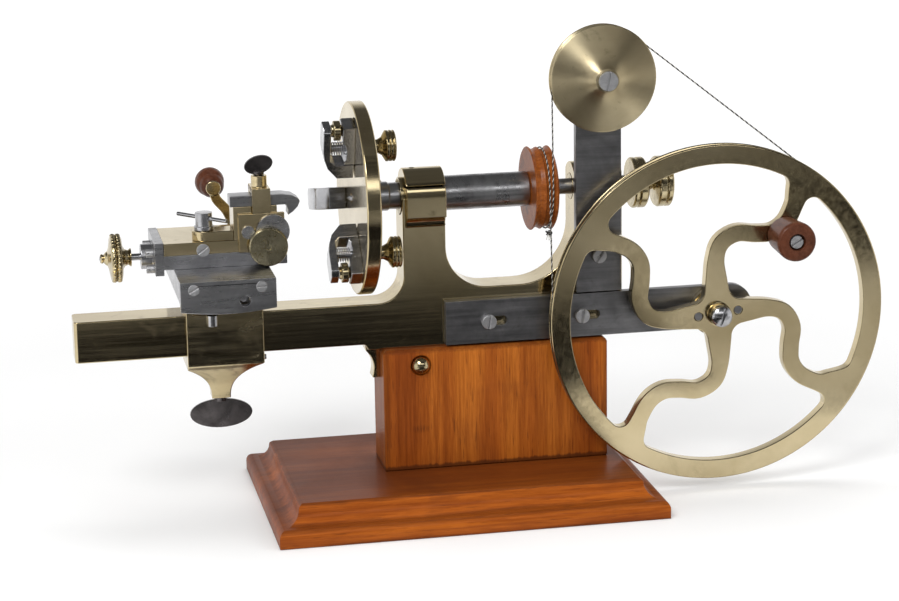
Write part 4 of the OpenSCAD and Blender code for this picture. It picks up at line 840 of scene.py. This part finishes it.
def makeFloor(settings):
    clearSelection()
    bpy.ops.mesh.primitive_plane_add(size=settings["size"], location=(0, 0, 0))
    floor = bpy.context.object
    floor.name = "studioFloor"
    material, tree, shader, place = startMaterial("studioWhite")
    shader.inputs["Base Color"].default_value = (*settings["white"], 1)
    matte(shader)
    away = vectorOp(tree, 'LENGTH', place)
    glow = spread(tree, away, settings["nearAt"], settings["farAt"], settings["near"], settings["far"])
    shader.inputs["Emission Color"].default_value = (1, 1, 1, 1)
    link(tree, compute(tree, 'MULTIPLY', seenRays(tree), glow), shader.inputs["Emission Strength"])
    floor.data.materials.append(material)


# Dark cards that only polished metal sees, as a photographer sets them round brass
cards = {
    "bedCard": {"size": (0.54, 0.22), "place": (-0.09, -0.300, 0.003), "dark": 0.002, "light": 0.015,
                "scale": 9},
    "baseCard": {"size": (0.175, 0.122), "place": (0.0025, -0.129, 0.0025), "dark": 0.01, "light": 0.04,
                 "scale": 9},
    "frontCard": {"size": (1.5, 1.4), "place": (0.15, -1.11, 0.0015), "dark": 0.08, "light": 0.34, "scale": 5},
    "wheelCard": {"size": (0.46, 0.42), "place": (0.42, -0.33, 0.002), "dark": 0.42, "light": 0.60, "scale": 6},
    "rimCard": {"size": (0.36, 0.37), "place": (0.475, -0.612, 0.003), "dark": 0.004, "light": 0.02,
                "scale": 6},
    "roomCard": {"size": (4.4, 3.4), "place": (0.1, -1.9, 1.7), "tilt": 90, "dark": 0.03, "light": 0.14,
                 "scale": 2},
}


def makeCard(name, settings):
    clearSelection()
    tilt = math.radians(settings.get("tilt", 0))
    bpy.ops.mesh.primitive_plane_add(size=1, location=settings["place"], rotation=(tilt, 0, 0))
    card = bpy.context.object
    card.name = name
    card.scale = (*settings["size"], 1)
    card.visible_camera = False
    card.visible_diffuse = False
    card.visible_shadow = False
    card.visible_transmission = False
    material, tree, shader, place = startMaterial(name)
    clouds = noise(tree, place, settings["scale"], detail=2, roughness=0.5)
    tone = ramp(tree, clouds, [(0.35, [settings["dark"]] * 3), (0.62, [settings["light"]] * 3)])
    link(tree, tone, shader.inputs["Base Color"])
    matte(shader)
    card.data.materials.append(material)


# The world lights at one level; seen directly and in metal it is white, with a darker ceiling
worldSettings = {"level": 0.38, "wallTop": 0.32, "ceilingFrom": 0.60, "wall": 1, "ceiling": 0.10}


def makeWorld(settings):
    world = bpy.data.worlds.new("studio")
    bpy.context.scene.world = world
    world.use_nodes = True
    tree = world.node_tree
    tree.nodes.clear()
    output = addNode(tree, "ShaderNodeOutputWorld")
    sky = addNode(tree, "ShaderNodeBackground", in_Color=(1, 1, 1, 1))
    direction = addNode(tree, "ShaderNodeTexCoord").outputs["Generated"]
    shown = spread(tree, axisOf(tree, direction, "Z"), settings["wallTop"], settings["ceilingFrom"],
                   settings["wall"], settings["ceiling"])
    added = compute(tree, 'MULTIPLY', seenRays(tree), compute(tree, 'SUBTRACT', shown, settings["level"]))
    link(tree, compute(tree, 'ADD', added, settings["level"]), sky.inputs["Strength"])
    link(tree, sky.outputs[0], output.inputs["Surface"])


lamps = {
    "keyLamp": {"place": (-0.75, -0.95, 1.25), "aim": (0, 0, 0.1), "size": (0.7, 0.5), "power": 13,
                "mirrored": True},
    "stripLamp": {"place": (-0.1, -0.95, 0.60), "aim": (0, 0, 0.14), "size": (1.6, 0.20), "power": 2.2,
                  "mirrored": True},
    "fillLamp": {"place": (1.2, -0.7, 0.9), "aim": (0.05, 0, 0.1), "size": (0.5, 0.7), "power": 5,
                 "mirrored": False},
    "topLamp": {"place": (0.1, 0.35, 1.4), "aim": (0, 0, 0.1), "size": (1.2, 0.6), "power": 8,
                "mirrored": False},
}


def makeLamp(name, settings):
    data = bpy.data.lights.new(name, 'AREA')
    data.shape = 'RECTANGLE'
    data.size, data.size_y = settings["size"]
    data.energy = settings["power"]
    lamp = bpy.data.objects.new(name, data)
    bpy.context.scene.collection.objects.link(lamp)
    lamp.location = settings["place"]
    lamp.visible_glossy = settings["mirrored"]
    lamp.rotation_euler = (Vector(settings["aim"]) - lamp.location).to_track_quat('-Z', 'Y').to_euler()


makeFloor(floorSettings)
for name, settings in cards.items():
    makeCard(name, settings)
makeWorld(worldSettings)
for name, settings in lamps.items():
    makeLamp(name, settings)
print("stage lit")
